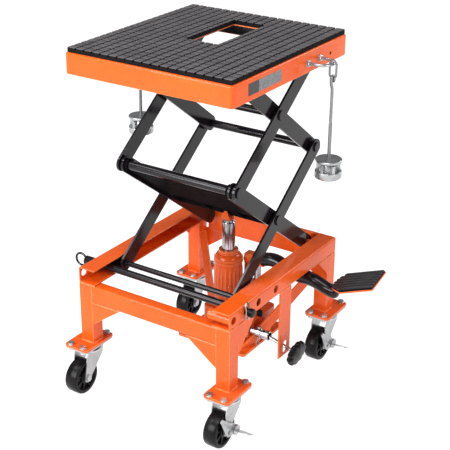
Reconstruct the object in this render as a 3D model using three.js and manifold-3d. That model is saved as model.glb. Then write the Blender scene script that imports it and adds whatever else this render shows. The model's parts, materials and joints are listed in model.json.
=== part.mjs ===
// A foot-pumped scissor lift table: a castored frame, a two-stage scissor, a bottle jack and a deck with tie-downs.
// Millimetres, +Z up. +X runs along the front crossbeam, +Y runs back along the rails.
import * as THREE from "three";
import { mergeVertices } from "three/addons/utils/BufferGeometryUtils.js";
import Module from "manifold-3d";

const wasm = await Module();
wasm.setup();

// ---- driving dimensions ----
const GAP = 0.3; // between pieces that are welded or bolted together
const RAIL = { outer: 188.8, flange: 41, wall: 3, bottom: 253.3, top: 289.5, half: 215.5 };
const HOLE = { z: 272, radius: 8.5, y: [-201.2, -155, -108.7, -41.6] }; // height-lock holes in the rail webs
const LEG = { side: 32, wall: 3, foot: 114.4 };
const BEAM = { height: 40, depth: 27, wall: 2.5 };
const BACK_BEAM = { bottom: 226, depth: 7, wall: 2.5 };
const FOOT = { x: 178.4, y: 204.3, width: 62, length: 94, thick: 5, corner: 8, bolts: [16.5, 40] };
const CASTER = { trail: 31.6, wheelRadius: 38, wheelWidth: 30, plate: 3.5, fork: 2.5 };
const SCISSOR = {
  back: 189.7, // y of the fixed pivots
  front: -117.7, // y of the rollers in the stored pose
  base: 271.4, // z of the lower pivots
  stage: 229.7, // height of one stage in the stored pose
  width: 35,
  thick: 5,
  outerX: 143.5, // outer face of the outer arms
  innerX: 132, // outer face of the inner arms
};
const PIN = { radius: 8, clearance: 0.4, head: 11, headThick: 3.5 };
const ROLLER = { radius: 14.4, inner: 151, outer: 183 };
const DECK = { half: 192.4, front: -220.4, back: 209.9, bottom: 708.5, top: 751, wall: 2.2 };
const OPENING = { half: 38.5, front: -35.5, back: 143 };
const PAD = { half: 188.2, front: -215.5, back: 207, thick: 9.9 };
const DECK_ROLLER = { radius: 12.8, inner: 151, outer: 182 };
const JACK = { y: 70, hinge: 103, ramRadius: 14.5, ramTop: 342, tank: 31, thrust: 150 };
const PUMP = { x: 58, y: 100, fulcrumX: 34, fulcrumZ: 246, armRadius: 14.5 };
const RELEASE = { y: 10, z: 122, slot: [188.8, 6.5, 111.5], knobX: 216, crossPinX: 120 };
const TIE = { y: 72, z: 728, reach: 236, bend: 24, wire: 3.2 };
const CENTRE = { x: 49.31, y: -11.2 }; // middle of the whole outline, brought to the origin

const armRun = SCISSOR.back - SCISSOR.front;
const armLength = Math.hypot(armRun, SCISSOR.stage);
const armAngle = Math.atan2(SCISSOR.stage, armRun);
const midZ = SCISSOR.base + SCISSOR.stage;
const deckPivotZ = SCISSOR.base + 2 * SCISSOR.stage;

// ---- materials ----
function material(color, roughness, metalness) {
  return () => new THREE.MeshStandardMaterial({ color, roughness, metalness });
}
const orange = material(0xf0541e, 0.35, 0.1);
const black = material(0x17161a, 0.25, 0.4);
const zinc = material(0xc9ccd0, 0.35, 0.9);
const chrome = material(0xe2e4e8, 0.12, 1);
const rubber = material(0x2a2a2c, 0.8, 0);
const nylon = material(0x161616, 0.45, 0);

// ---- solids: closed geometries, and the joins and cuts made on them ----
function toSolid(geometry) {
  const bare = geometry.clone();
  bare.deleteAttribute("normal");
  bare.deleteAttribute("uv");
  const merged = mergeVertices(bare, 1e-4);
  return new wasm.Manifold(
    new wasm.Mesh({
      numProp: 3,
      vertProperties: new Float32Array(merged.attributes.position.array),
      triVerts: new Uint32Array(merged.index.array),
    }),
  );
}

function toGeometry(solid) {
  const mesh = solid.getMesh();
  const geometry = new THREE.BufferGeometry();
  geometry.setAttribute("position", new THREE.BufferAttribute(mesh.vertProperties, 3));
  geometry.setIndex(new THREE.BufferAttribute(mesh.triVerts, 1));
  geometry.computeVertexNormals();
  return geometry;
}

function join(first, ...rest) {
  return toGeometry(rest.reduce((sum, item) => sum.add(toSolid(item)), toSolid(first)));
}

function cut(first, ...rest) {
  return toGeometry(rest.reduce((sum, item) => sum.subtract(toSolid(item)), toSolid(first)));
}

function box(x, y, z) {
  const geometry = new THREE.BoxGeometry(x[1] - x[0], y[1] - y[0], z[1] - z[0]);
  return geometry.translate((x[0] + x[1]) / 2, (y[0] + y[1]) / 2, (z[0] + z[1]) / 2);
}

// A round bar between two points, tapered if endRadius is given.
function bar(radius, from, to, sides = 16, endRadius = radius) {
  const start = new THREE.Vector3(...from);
  const span = new THREE.Vector3(...to).sub(start);
  const geometry = new THREE.CylinderGeometry(endRadius, radius, span.length(), sides);
  geometry.translate(0, span.length() / 2, 0);
  const turn = new THREE.Quaternion().setFromUnitVectors(new THREE.Vector3(0, 1, 0), span.normalize());
  return geometry.applyQuaternion(turn).translate(start.x, start.y, start.z);
}

function shapeOf(points, holes = []) {
  const shape = new THREE.Shape(points.map(([a, b]) => new THREE.Vector2(a, b)));
  shape.holes = holes.map((ring) => new THREE.Path(ring.map(([a, b]) => new THREE.Vector2(a, b))));
  return shape;
}

function extrude(shape, depth) {
  return new THREE.ExtrudeGeometry(shape, { depth, bevelEnabled: false, curveSegments: 8 });
}

// Outline in (y, z), thickness along x.
function slabX(points, x, holes = []) {
  const basis = new THREE.Matrix4().makeBasis(
    new THREE.Vector3(0, 1, 0),
    new THREE.Vector3(0, 0, 1),
    new THREE.Vector3(1, 0, 0),
  );
  return extrude(shapeOf(points, holes), x[1] - x[0]).applyMatrix4(basis).translate(x[0], 0, 0);
}

// Outline in (x, z), thickness along y.
function slabY(points, y, holes = []) {
  return extrude(shapeOf(points, holes), y[1] - y[0]).rotateX(Math.PI / 2).translate(0, y[1], 0);
}

// Outline in (x, y), thickness along z.
function slabZ(points, z, holes = []) {
  return extrude(shapeOf(points, holes), z[1] - z[0]).translate(0, 0, z[0]);
}

function roundedRectangle(a, b, radius, steps = 4) {
  const corners = [
    [a[1] - radius, b[1] - radius, 0],
    [a[0] + radius, b[1] - radius, 1],
    [a[0] + radius, b[0] + radius, 2],
    [a[1] - radius, b[0] + radius, 3],
  ];
  return corners.flatMap(([ca, cb, quarter]) =>
    Array.from({ length: steps + 1 }, (_, i) => {
      const angle = ((quarter + i / steps) * Math.PI) / 2;
      return [ca + radius * Math.cos(angle), cb + radius * Math.sin(angle)];
    }),
  );
}

function circle(centre, radius, sides = 16) {
  return Array.from({ length: sides }, (_, i) => {
    const angle = (2 * Math.PI * i) / sides;
    return [centre[0] + radius * Math.cos(angle), centre[1] + radius * Math.sin(angle)];
  });
}

// A round wire or tube of the given radius swept along a smooth curve.
function wire(points, radius, steps, closed = false, sides = 6) {
  const path = new THREE.CatmullRomCurve3(points.map((p) => new THREE.Vector3(...p)), closed);
  const section = shapeOf(circle([0, 0], radius, sides));
  return new THREE.ExtrudeGeometry(section, { steps, bevelEnabled: false, extrudePath: path });
}

// A flat bar between two points, with its width turned towards the given direction.
function strap(from, to, width, thick, widthTowards) {
  const start = new THREE.Vector3(...from);
  const along = new THREE.Vector3(...to).sub(start);
  const length = along.length();
  along.normalize();
  const across = new THREE.Vector3(...widthTowards);
  across.addScaledVector(along, -across.dot(along)).normalize();
  const through = new THREE.Vector3().crossVectors(along, across);
  const basis = new THREE.Matrix4().makeBasis(along, across, through);
  return box([0, length], [-width / 2, width / 2], [-thick / 2, thick / 2])
    .applyMatrix4(basis)
    .translate(start.x, start.y, start.z);
}

// ---- the assembly ----
const table = new THREE.Group();
table.position.set(-CENTRE.x, -CENTRE.y, 0);

function add(name, geometry, makeMaterial, parent = table) {
  const mesh = new THREE.Mesh(geometry, makeMaterial());
  mesh.name = name;
  parent.add(mesh);
  return mesh;
}

const sides = [
  { word: "left", sign: -1 },
  { word: "right", sign: 1 },
];
const ends = [
  { word: "front", sign: -1 },
  { word: "back", sign: 1 },
];
const span = (sign, near, far) => (sign > 0 ? [near, far] : [-far, -near]);

// ---- base frame ----
function rail(sign) {
  const web = RAIL.outer - RAIL.wall;
  const lip = RAIL.outer - RAIL.flange;
  const profile = [
    [RAIL.outer, RAIL.bottom],
    [RAIL.outer, RAIL.top],
    [lip, RAIL.top],
    [lip, RAIL.top - RAIL.wall],
    [web, RAIL.top - RAIL.wall],
    [web, RAIL.bottom + RAIL.wall],
    [lip, RAIL.bottom + RAIL.wall],
    [lip, RAIL.bottom],
  ].map(([x, z]) => [sign * x, z]);
  const channel = slabY(profile, [-RAIL.half, RAIL.half]);
  const pivot = bar(
    PIN.radius,
    [sign * (web + 1), SCISSOR.back, SCISSOR.base],
    [sign * (SCISSOR.innerX - SCISSOR.thick - GAP), SCISSOR.back, SCISSOR.base],
  );
  const holes = HOLE.y.map((y) =>
    bar(HOLE.radius, [sign * 180, y, HOLE.z], [sign * 200, y, HOLE.z], 18),
  );
  if (sign < 0) return cut(join(channel, pivot), ...holes);
  // the right rail has a guide sleeve behind its first hole
  const sleeve = bar(11, [133, HOLE.y[0], HOLE.z], [web + 1, HOLE.y[0], HOLE.z]);
  const bore = bar(HOLE.radius, [130, HOLE.y[0], HOLE.z], [200, HOLE.y[0], HOLE.z], 18);
  return cut(join(channel, pivot, sleeve), bore, ...holes.slice(1));
}

// The front crossbeam is a box tube between the legs, under the rails.
function frontCrossbeam() {
  const x = RAIL.outer - LEG.side - GAP;
  const y = [-RAIL.half, -RAIL.half + BEAM.depth];
  const top = RAIL.bottom - GAP;
  const hollow = box(
    [-x - 1, x + 1],
    [y[0] + BEAM.wall, y[1] - BEAM.wall],
    [top - BEAM.height + BEAM.wall, top - BEAM.wall],
  );
  return cut(box([-x, x], y, [top - BEAM.height, top]), hollow);
}

// The back crossbeam is a shallow channel on edge, behind the arm ends.
function backCrossbeam() {
  const x = RAIL.outer - RAIL.flange - GAP;
  const y = [RAIL.half - BACK_BEAM.depth, RAIL.half];
  const hollow = box(
    [-x - 1, x + 1],
    [y[0] + BACK_BEAM.wall, y[1] + 1],
    [BACK_BEAM.bottom + BACK_BEAM.wall, RAIL.top - BACK_BEAM.wall],
  );
  return cut(box([-x, x], y, [BACK_BEAM.bottom, RAIL.top]), hollow);
}

// A square-tube leg with its foot plate and two gussets.
function leg(side, end) {
  const top = RAIL.bottom - GAP;
  const inner = { x: RAIL.outer - LEG.side, y: RAIL.half - LEG.side };
  const x = span(side, inner.x, RAIL.outer);
  const y = span(end, inner.y, RAIL.half);
  const tube = cut(
    box(x, y, [LEG.foot - 1, top]),
    box([x[0] + LEG.wall, x[1] - LEG.wall], [y[0] + LEG.wall, y[1] - LEG.wall], [LEG.foot + 2, top + 1]),
  );
  const beamBottom = (end < 0 ? top - BEAM.height : BACK_BEAM.bottom) - GAP;
  const crossGusset = slabY(
    [
      [side * (inner.x + 1), beamBottom - 52],
      [side * (inner.x + 1), beamBottom],
      [side * 85, beamBottom],
      [side * inner.x, beamBottom - 52],
    ],
    span(end, RAIL.half - LEG.wall, RAIL.half),
  );
  const reach = end < 0 ? 66 : 40;
  const railGusset = slabX(
    [
      [end * (inner.y + 1), top - reach],
      [end * (inner.y + 1), top],
      [end * (inner.y - reach), top],
      [end * inner.y, top - reach],
    ],
    span(side, RAIL.outer - LEG.wall, RAIL.outer),
  );
  const centre = [side * FOOT.x, end * FOOT.y];
  const holes = boltPlaces(centre).map((place) => circle(place, 4.4, 12));
  const plate = slabZ(footOutline(centre, FOOT.width, FOOT.length), [LEG.foot - FOOT.thick, LEG.foot], holes);
  return join(tube, crossGusset, railGusset, plate);
}

function footOutline([x, y], width, length) {
  return roundedRectangle([x - width / 2, x + width / 2], [y - length / 2, y + length / 2], FOOT.corner);
}

function boltPlaces([x, y]) {
  const [dx, dy] = FOOT.bolts;
  return [-dx, dx].flatMap((a) => [-dy, dy].map((b) => [x + a, y + b]));
}

for (const side of sides) add(`rail_${side.word}`, rail(side.sign), orange);
add("crossbeam_front", frontCrossbeam(), orange);
add("crossbeam_back", backCrossbeam(), orange);
for (const end of ends) {
  for (const side of sides) add(`leg_${end.word}_${side.word}`, leg(side.sign, end.sign), orange);
}

// Flat bar under the right rail with a slot for the release rod.
const guide = { y: [-22, 23], z: [95, RAIL.bottom - GAP] };
const guideSlot = roundedRectangle([-5, 13], [100, 129], 8.9, 5);
const guideOutline = [
  [guide.y[0], guide.z[0]],
  [guide.y[1], guide.z[0]],
  [guide.y[1], guide.z[1]],
  [guide.y[0], guide.z[1]],
];
add("release_guide_bar", slabX(guideOutline, [185.3, 188.8], [guideSlot]), orange);

// Jack platform, hung from the frame by two flat bars, with two lugs for the jack's hinge.
function jackCradle() {
  const plate = slabZ(roundedRectangle([-62, 112], [-40, 128], 6), [82, 87]);
  const lug = roundedRectangle([JACK.y - 13, JACK.y + 13], [80, JACK.hinge + 12], 11);
  const leftLug = slabX(lug, [-46, -41]);
  const rightLug = slabX(lug, [101, 106]);
  const leftStrap = strap([-56, 95, 86], [-146, 182, 229], 18, 5, [1, 0, 0]);
  const rightStrap = strap([94.5, -19, 77], [153, 176, 205], 26, 5, [0, 0, 1]);
  const leftPin = bar(5, [-46.5, JACK.y, JACK.hinge], [-30, JACK.y, JACK.hinge]);
  const rightPin = bar(5, [90, JACK.y, JACK.hinge], [106.5, JACK.y, JACK.hinge]);
  return join(plate, leftLug, rightLug, leftStrap, rightStrap, leftPin, rightPin);
}
add("jack_cradle", jackCradle(), orange);

// ---- casters ----
function casterPlate() {
  const top = LEG.foot - FOOT.thick - GAP;
  const plate = slabZ(footOutline([0, 0], 60, 92), [top - CASTER.plate, top]);
  const race = bar(23, [0, 0, top - CASTER.plate - 4], [0, 0, top - 1], 24);
  const bolts = boltPlaces([0, 0]).flatMap(([x, y]) => [
    bar(4, [x, y, top - 1], [x, y, LEG.foot + 1], 12),
    bar(7.2, [x, y, LEG.foot + GAP], [x, y, LEG.foot + 5.5], 6),
  ]);
  return join(plate, race, ...bolts);
}

function casterFork(braked) {
  const top = LEG.foot - FOOT.thick - GAP - CASTER.plate - 4.4;
  const inside = CASTER.wheelWidth / 2 + 1.4;
  const outside = inside + CASTER.fork;
  const axle = [-CASTER.trail, CASTER.wheelRadius];
  const cheek = [
    [24, top],
    [20, top - 22],
    ...Array.from({ length: 9 }, (_, i) => {
      const angle = (-0.12 - (i / 8) * 0.78) * Math.PI;
      return [axle[0] + 10 * Math.cos(angle), axle[1] + 10 * Math.sin(angle)];
    }),
    [-30, top - 14],
    [-24, top],
  ];
  const cheeks = sides.map(({ sign }) => slabX(cheek, span(sign, inside, outside)));
  const crown = slabZ(roundedRectangle([-outside, outside], [-24, 24], 4), [top - CASTER.fork, top]);
  const axleBolt = bar(5, [-outside, ...axle], [outside, ...axle], 14);
  const brakeStud = bar(4.2, [outside, ...axle], [28.5, ...axle], 12);
  const heads = sides.map(({ sign }) =>
    bar(8, [sign * (outside - 0.5), ...axle], [sign * (outside + 4), ...axle], 6),
  );
  const studs = braked ? [brakeStud] : [];
  return join(crown, ...cheeks, axleBolt, ...heads, ...studs);
}

function casterWheel() {
  const half = CASTER.wheelWidth / 2;
  const rim = CASTER.wheelRadius;
  const profile = [
    [5.4, -half],
    [14, -half],
    [16, -half + 3],
    [27, -half + 3],
    [29, -half],
    [rim - 4, -half],
    [rim, -half + 5],
    [rim, half - 5],
    [rim - 4, half],
    [29, half],
    [27, half - 3],
    [16, half - 3],
    [14, half],
    [5.4, half],
    [5.4, -half],
  ].map(([r, h]) => new THREE.Vector2(r, h));
  return new THREE.LatheGeometry(profile, 28).rotateZ(Math.PI / 2);
}

// Stamped side-lock lever on the fork's outer cheek: a long plate, a raised hub and a foot tab.
function brakeLever() {
  const axle = [-CASTER.trail, CASTER.wheelRadius];
  const plate = [
    [axle[0] - 33, 80],
    [axle[0] - 26, 83],
    [axle[0] - 1, 62],
    [axle[0] + 20, 49],
    [axle[0] + 14, 31],
    [axle[0] + 5, 27],
    [axle[0] - 6, 30],
    [axle[0] - 15, 41],
    [axle[0] - 24, 62],
  ];
  const hub = bar(11, [25, axle[0] + 20, 35], [31, axle[0] + 20, 35], 20);
  const body = cut(join(slabX(plate, [24, 26.5]), hub), bar(4.6, [20, ...axle], [30, ...axle], 12));
  const tab = strap([29, axle[0] + 27, 29], [59, axle[0] + 25.5, 31], 20, 2.2, [0, 1, -0.5]);
  return join(body, tab);
}

for (const end of ends) {
  for (const side of sides) {
    const corner = `${end.word}_${side.word}`;
    const caster = new THREE.Group();
    caster.position.set(side.sign * FOOT.x, end.sign * FOOT.y, 0);
    table.add(caster);
    add(`caster_plate_${corner}`, casterPlate(), zinc, caster);
    const braked = side.sign > 0;
    add(`caster_fork_${corner}`, casterFork(braked), zinc, caster);
    const wheel = add(`caster_wheel_${corner}`, casterWheel(), nylon, caster);
    wheel.position.set(0, -CASTER.trail, CASTER.wheelRadius);
    if (braked) add(`caster_brake_${corner}`, brakeLever(), zinc, caster);
  }
}

// ---- scissor ----
// An arm along local +Y from its first pin hole, with round ends.
function armBar(x, holes) {
  const half = SCISSOR.width / 2;
  const arc = (centre, start) =>
    Array.from({ length: 9 }, (_, i) => {
      const angle = start + (i / 8) * Math.PI;
      return [centre + half * Math.cos(angle), half * Math.sin(angle)];
    });
  const outline = [...arc(armLength, -Math.PI / 2), ...arc(0, Math.PI / 2)];
  const rings = holes.map((at) => circle([at, 0], PIN.radius + PIN.clearance));
  return slabX(outline, x, rings);
}

// A pin along x through local y = at: signs point outwards from the middle of the table.
function armPin(sign, from, to, at, radius = PIN.radius) {
  return bar(radius, [sign * from, at, 0], [sign * to, at, 0]);
}

const pinTail = SCISSOR.innerX - SCISSOR.thick + 0.2;
const outerInside = SCISSOR.outerX - SCISSOR.thick;

// A pin that an outer arm carries inwards through an inner arm, with its head and spacer.
function outerArmPin(sign, at) {
  return [
    armPin(sign, pinTail, SCISSOR.outerX + 1, at),
    armPin(sign, SCISSOR.innerX + GAP, outerInside + 1, at, 12),
    armPin(sign, SCISSOR.outerX - 1, SCISSOR.outerX + PIN.headThick, at, PIN.head),
  ];
}

function placeArm(mesh, y, z, rising) {
  mesh.position.set(0, y, z);
  mesh.rotation.x = rising ? armAngle : Math.PI - armAngle;
}

const innerSpan = (sign) => span(sign, SCISSOR.innerX - SCISSOR.thick, SCISSOR.innerX);
const outerSpan = (sign) => span(sign, outerInside, SCISSOR.outerX);

for (const { word, sign } of sides) {
  // lower inner arm: fixed back pivot at local 0, front joint at the far end, with the joint's pin outwards
  const lowerInner = join(
    armBar(innerSpan(sign), [0, armLength / 2]),
    armPin(sign, SCISSOR.innerX - 1, SCISSOR.outerX + PIN.headThick, armLength),
    armPin(sign, SCISSOR.innerX - 1, outerInside - GAP, armLength, 12),
    armPin(sign, SCISSOR.outerX + GAP, SCISSOR.outerX + PIN.headThick, armLength, PIN.head),
  );
  placeArm(add(`lower_inner_arm_${word}`, lowerInner, black), SCISSOR.back, SCISSOR.base, false);

  // lower outer arm: roller axle at local 0, back joint at the far end
  const lowerOuter = join(
    armBar(outerSpan(sign), [0]),
    ...outerArmPin(sign, armLength / 2),
    ...outerArmPin(sign, armLength),
  );
  placeArm(add(`lower_outer_arm_${word}`, lowerOuter, black), SCISSOR.front, SCISSOR.base, true);

  // upper inner arm: back joint at local 0, deck roller pin at the far end
  const upperInner = join(
    armBar(innerSpan(sign), [0, armLength / 2]),
    armPin(sign, SCISSOR.innerX - 1, DECK_ROLLER.outer, armLength, 6),
  );
  placeArm(add(`upper_inner_arm_${word}`, upperInner, black), SCISSOR.back, midZ, false);

  // upper outer arm: front joint at local 0, deck pivot at the far end
  const upperOuter = join(
    armBar(outerSpan(sign), [0, armLength]),
    ...outerArmPin(sign, armLength / 2),
  );
  placeArm(add(`upper_outer_arm_${word}`, upperOuter, black), SCISSOR.front, midZ, true);
}

const tubeEnd = SCISSOR.innerX - SCISSOR.thick - GAP;

// Front joint tube, lift plate, ribs and the round bar that the jack pushes, in the lower inner arms' frame.
function liftPlate() {
  const tube = bar(9.5, [-tubeEnd, armLength, 0], [tubeEnd, armLength, 0]);
  const collars = sides.map(({ sign }) =>
    bar(13, [sign * (tubeEnd - 7), armLength, 0], [sign * tubeEnd, armLength, 0]),
  );
  const plate = box([-tubeEnd, tubeEnd], [armLength - 167, armLength - 6], [7.5, 10.5]);
  const ribs = [-44, 44].map((x) =>
    box([x - 2.5, x + 2.5], [JACK.thrust - 2, armLength - 150], [-6, 9]),
  );
  const push = bar(9, [-tubeEnd, JACK.thrust, 0], [tubeEnd, JACK.thrust, 0]);
  return join(tube, ...collars, plate, ...ribs, push);
}
placeArm(add("lift_plate", liftPlate(), black), SCISSOR.back, SCISSOR.base, false);

const rearTube = bar(9, [-tubeEnd, 0, 0], [tubeEnd, 0, 0]);
placeArm(add("rear_cross_tube", rearTube, black), SCISSOR.back, midZ, false);
const centreTube = bar(8, [-tubeEnd, armLength / 2, 0], [tubeEnd, armLength / 2, 0]);
placeArm(add("upper_centre_tube", centreTube, black), SCISSOR.back, midZ, false);

const axle = bar(6, [-ROLLER.outer, SCISSOR.front, SCISSOR.base], [ROLLER.outer, SCISSOR.front, SCISSOR.base]);
const axleCollars = sides.map(({ sign }) =>
  bar(
    PIN.radius,
    [sign * (outerInside - 3), SCISSOR.front, SCISSOR.base],
    [sign * (ROLLER.inner - GAP), SCISSOR.front, SCISSOR.base],
    24,
  ),
);
add("roller_axle", join(axle, ...axleCollars), black);

function roller(radius, inner, outer, y, z, sign) {
  const body = bar(radius, [sign * inner, y, z], [sign * outer, y, z], 28);
  return cut(body, bar(6.3, [sign * (inner - 1), y, z], [sign * (outer + 1), y, z], 16));
}
for (const { word, sign } of sides) {
  const low = roller(ROLLER.radius, ROLLER.inner, ROLLER.outer, SCISSOR.front, SCISSOR.base, sign);
  add(`base_roller_${word}`, low, nylon);
  const { radius, inner, outer } = DECK_ROLLER;
  add(`deck_roller_${word}`, roller(radius, inner, outer, SCISSOR.front, deckPivotZ, sign), nylon);
}

// ---- deck ----
const deckSkin = DECK.half - DECK.wall;
function deckTray() {
  const shell = slabZ(
    roundedRectangle([-DECK.half, DECK.half], [DECK.front, DECK.back], 6),
    [DECK.bottom, DECK.top],
  );
  const inside = box(
    [-deckSkin, deckSkin],
    [DECK.front + DECK.wall, DECK.back - DECK.wall],
    [DECK.bottom - 1, DECK.top - DECK.wall],
  );
  const opening = box([-OPENING.half, OPENING.half], [OPENING.front, OPENING.back], [700, 760]);
  const rightHole = bar(4.5, [180, 141, 727], [200, 141, 727], 14);
  const wireHoles = sides.flatMap(({ sign }) =>
    [-TIE.bend, TIE.bend].map((dy) =>
      bar(TIE.wire + GAP, [sign * 180, TIE.y + dy, TIE.z], [sign * 200, TIE.y + dy, TIE.z], 12),
    ),
  );
  return cut(shell, inside, opening, rightHole, ...wireHoles);
}
add("deck_tray", deckTray(), orange);

const padBottom = DECK.top + GAP;
const padOutline = roundedRectangle([-PAD.half, PAD.half], [PAD.front, PAD.back], 3, 2);
const padOpening = roundedRectangle([-OPENING.half, OPENING.half], [OPENING.front, OPENING.back], 3, 2);
add("deck_pad", slabZ(padOutline, [padBottom, padBottom + PAD.thick], [padOpening]), rubber);

// Channels under the deck: the rollers run in them, and a pin at the back carries the outer arms.
function deckChannel(sign) {
  const top = DECK.top - DECK.wall - GAP;
  const bottom = deckPivotZ - DECK_ROLLER.radius - 3;
  const web = [183.4, 186.4];
  const profile = [
    [web[1], bottom],
    [web[1], top],
    [148, top],
    [148, top - 2.5],
    [web[0], top - 2.5],
    [web[0], bottom + 2.5],
    [148, bottom + 2.5],
    [148, bottom],
  ].map(([x, z]) => [sign * x, z]);
  const pin = bar(
    PIN.radius,
    [sign * (web[0] + 1), SCISSOR.back, deckPivotZ],
    [sign * (outerInside - 1), SCISSOR.back, deckPivotZ],
    24,
  );
  return join(slabY(profile, [-205, 205]), pin);
}
for (const { word, sign } of sides) add(`deck_channel_${word}`, deckChannel(sign), black);

// ---- tie-downs: a U-bolt, a hooked rod with its link, and a clamp nut ----
function uBolt(sign) {
  const bow = TIE.reach - TIE.bend;
  const points = [
    [181, -TIE.bend],
    [190, -TIE.bend],
    [200, -TIE.bend],
    [bow, -TIE.bend],
    ...[-60, -30, 0, 30, 60].map((degrees) => {
      const angle = (degrees * Math.PI) / 180;
      return [bow + TIE.bend * Math.cos(angle), TIE.bend * Math.sin(angle)];
    }),
    [bow, TIE.bend],
    [200, TIE.bend],
    [190, TIE.bend],
    [187.5, TIE.bend],
  ].map(([x, y]) => [sign * x, TIE.y + y, TIE.z]);
  points[0][0] = sign * 187.5;
  const nuts = [-TIE.bend, TIE.bend].map((dy) =>
    bar(6.5, [sign * (DECK.half + GAP), TIE.y + dy, TIE.z], [sign * (DECK.half + 6), TIE.y + dy, TIE.z], 6),
  );
  return join(wire(points, TIE.wire, 30), ...nuts);
}

const tieRod = { bottom: 490, radius: 3.6 };
function hookRod(sign) {
  const x = sign * TIE.reach;
  const linkTop = TIE.z + TIE.wire + 3;
  const link = wire(
    [
      [x + 7.5, TIE.y, linkTop - 5],
      [x, TIE.y, linkTop],
      [x - 7.5, TIE.y, linkTop - 5],
      [x - 7.5, TIE.y, linkTop - 28],
      [x, TIE.y, linkTop - 34],
      [x + 7.5, TIE.y, linkTop - 28],
    ],
    2.2,
    28,
    true,
  );
  const eye = wire(
    [0, 60, 120, 180, 240, 300].map((degrees) => {
      const angle = (degrees * Math.PI) / 180;
      return [x, TIE.y + 6.5 * Math.cos(angle), linkTop - 36 + 6.5 * Math.sin(angle)];
    }),
    2.6,
    18,
    true,
  );
  const shank = bar(tieRod.radius, [x, TIE.y, tieRod.bottom], [x, TIE.y, linkTop - 41], 12);
  return join(link, eye, shank);
}

// A pressure disc and a round knob on one threaded hub.
function clampNut(sign) {
  const x = sign * TIE.reach;
  const profile = [
    [tieRod.radius + 0.5, 521],
    [24, 521],
    [27.5, 518],
    [27.5, 496],
    [24, 492],
    [tieRod.radius + 0.5, 492],
    [tieRod.radius + 0.5, 521],
  ].map(([r, z]) => new THREE.Vector2(r, z));
  const knob = new THREE.LatheGeometry(profile.reverse(), 24).rotateX(Math.PI / 2).translate(x, TIE.y, 0);
  const hub = bar(8, [x, TIE.y, 519], [x, TIE.y, 531], 20);
  const disc = bar(27.5, [x, TIE.y, 528], [x, TIE.y, 536], 28);
  const bore = bar(tieRod.radius + 0.5, [x, TIE.y, 480], [x, TIE.y, 540], 12);
  return cut(join(knob, hub, disc), bore);
}
for (const { word, sign } of sides) {
  add(`u_bolt_${word}`, uBolt(sign), zinc);
  add(`hook_rod_${word}`, hookRod(sign), zinc);
  add(`clamp_nut_${word}`, clampNut(sign), zinc);
}

// ---- jack ----
const jackX = [-38, 98];
function jackBody() {
  const base = slabZ(roundedRectangle(jackX, [22, 118], 12), [96, 138]);
  const hinge = bar(5.4, [-60, JACK.y, JACK.hinge], [120, JACK.y, JACK.hinge], 16);
  const profile = [
    [0, 130],
    [JACK.tank, 130],
    [JACK.tank, 250],
    [27, 258],
    [22, 261],
    [22, 269],
    [0, 269],
  ].map(([r, z]) => new THREE.Vector2(r, z));
  const tank = new THREE.LatheGeometry(profile, 32).rotateX(Math.PI / 2).translate(0, JACK.y, 0);
  const barrel = bar(12, [PUMP.x, PUMP.y, 130], [PUMP.x, PUMP.y, 196]);
  const post = slabY(
    [
      [PUMP.fulcrumX - 9, 130],
      [PUMP.fulcrumX + 9, 130],
      [PUMP.fulcrumX + 7, PUMP.fulcrumZ + 6],
      [PUMP.fulcrumX - 7, PUMP.fulcrumZ + 6],
    ],
    [PUMP.y - 6, PUMP.y + 6],
  );
  const valve = bar(12, [jackX[1] - 2, RELEASE.y + 12, RELEASE.z], [jackX[1] - 22, RELEASE.y + 12, RELEASE.z]);
  const valveArm = box([60, 98], [RELEASE.y - 13, 24], [RELEASE.z - 13, RELEASE.z + 13]);
  const solid = join(base, tank, barrel, post, valve, valveArm);
  return cut(
    solid,
    hinge,
    bar(JACK.ramRadius + GAP, [0, JACK.y, 150], [0, JACK.y, 280], 28),
    bar(8, [PUMP.x, PUMP.y, 142], [PUMP.x, PUMP.y, 200], 20),
    bar(4.4, [PUMP.fulcrumX, 80, PUMP.fulcrumZ], [PUMP.fulcrumX, 120, PUMP.fulcrumZ], 16),
    bar(4.3, [80, RELEASE.y, RELEASE.z], [100, RELEASE.y, RELEASE.z], 14),
  );
}
add("jack_body", jackBody(), orange);

const thrustZ = SCISSOR.base + JACK.thrust * Math.sin(armAngle);
const thrustY = SCISSOR.back - JACK.thrust * Math.cos(armAngle);
add("jack_ram", bar(JACK.ramRadius, [0, JACK.y, 160], [0, JACK.y, JACK.ramTop], 28), chrome);

// Saddle head: a low cone under a tapered fork whose groove cradles the thrust bar.
function ramHead() {
  const cone = bar(13, [0, JACK.y, JACK.ramTop + GAP], [0, JACK.y, JACK.ramTop + 8], 24, 11.5);
  const taper = [
    [-10, JACK.ramTop + 5],
    [10, JACK.ramTop + 5],
    [3.5, thrustZ + 2],
    [-3.5, thrustZ + 2],
  ];
  const fork = slabY(taper, [JACK.y - 13.5, JACK.y + 13.5]);
  const groove = bar(10.6, [-30, thrustY, thrustZ], [30, thrustY, thrustZ], 24);
  const mouth = box([-30, 30], [thrustY - 10.6, thrustY + 10.6], [thrustZ, thrustZ + 20]);
  return cut(join(cone, fork), groove, mouth);
}
add("ram_head", ramHead(), orange);

add("pump_piston", bar(7.6, [PUMP.x, PUMP.y, 162], [PUMP.x, PUMP.y, 235.2], 20), chrome);

// The foot plate slopes up outwards; its rubber pad lies on it.
const pedalSlope = Math.atan(0.385);
const pedalOutline = [
  [0, 84],
  [10, 74],
  [38, 51],
  [118, 51],
  [98, 154],
  [6, 154],
  [-4, 124],
];
function onPedal(geometry) {
  return geometry.rotateY(-pedalSlope).translate(252, 0, 235.5);
}

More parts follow.
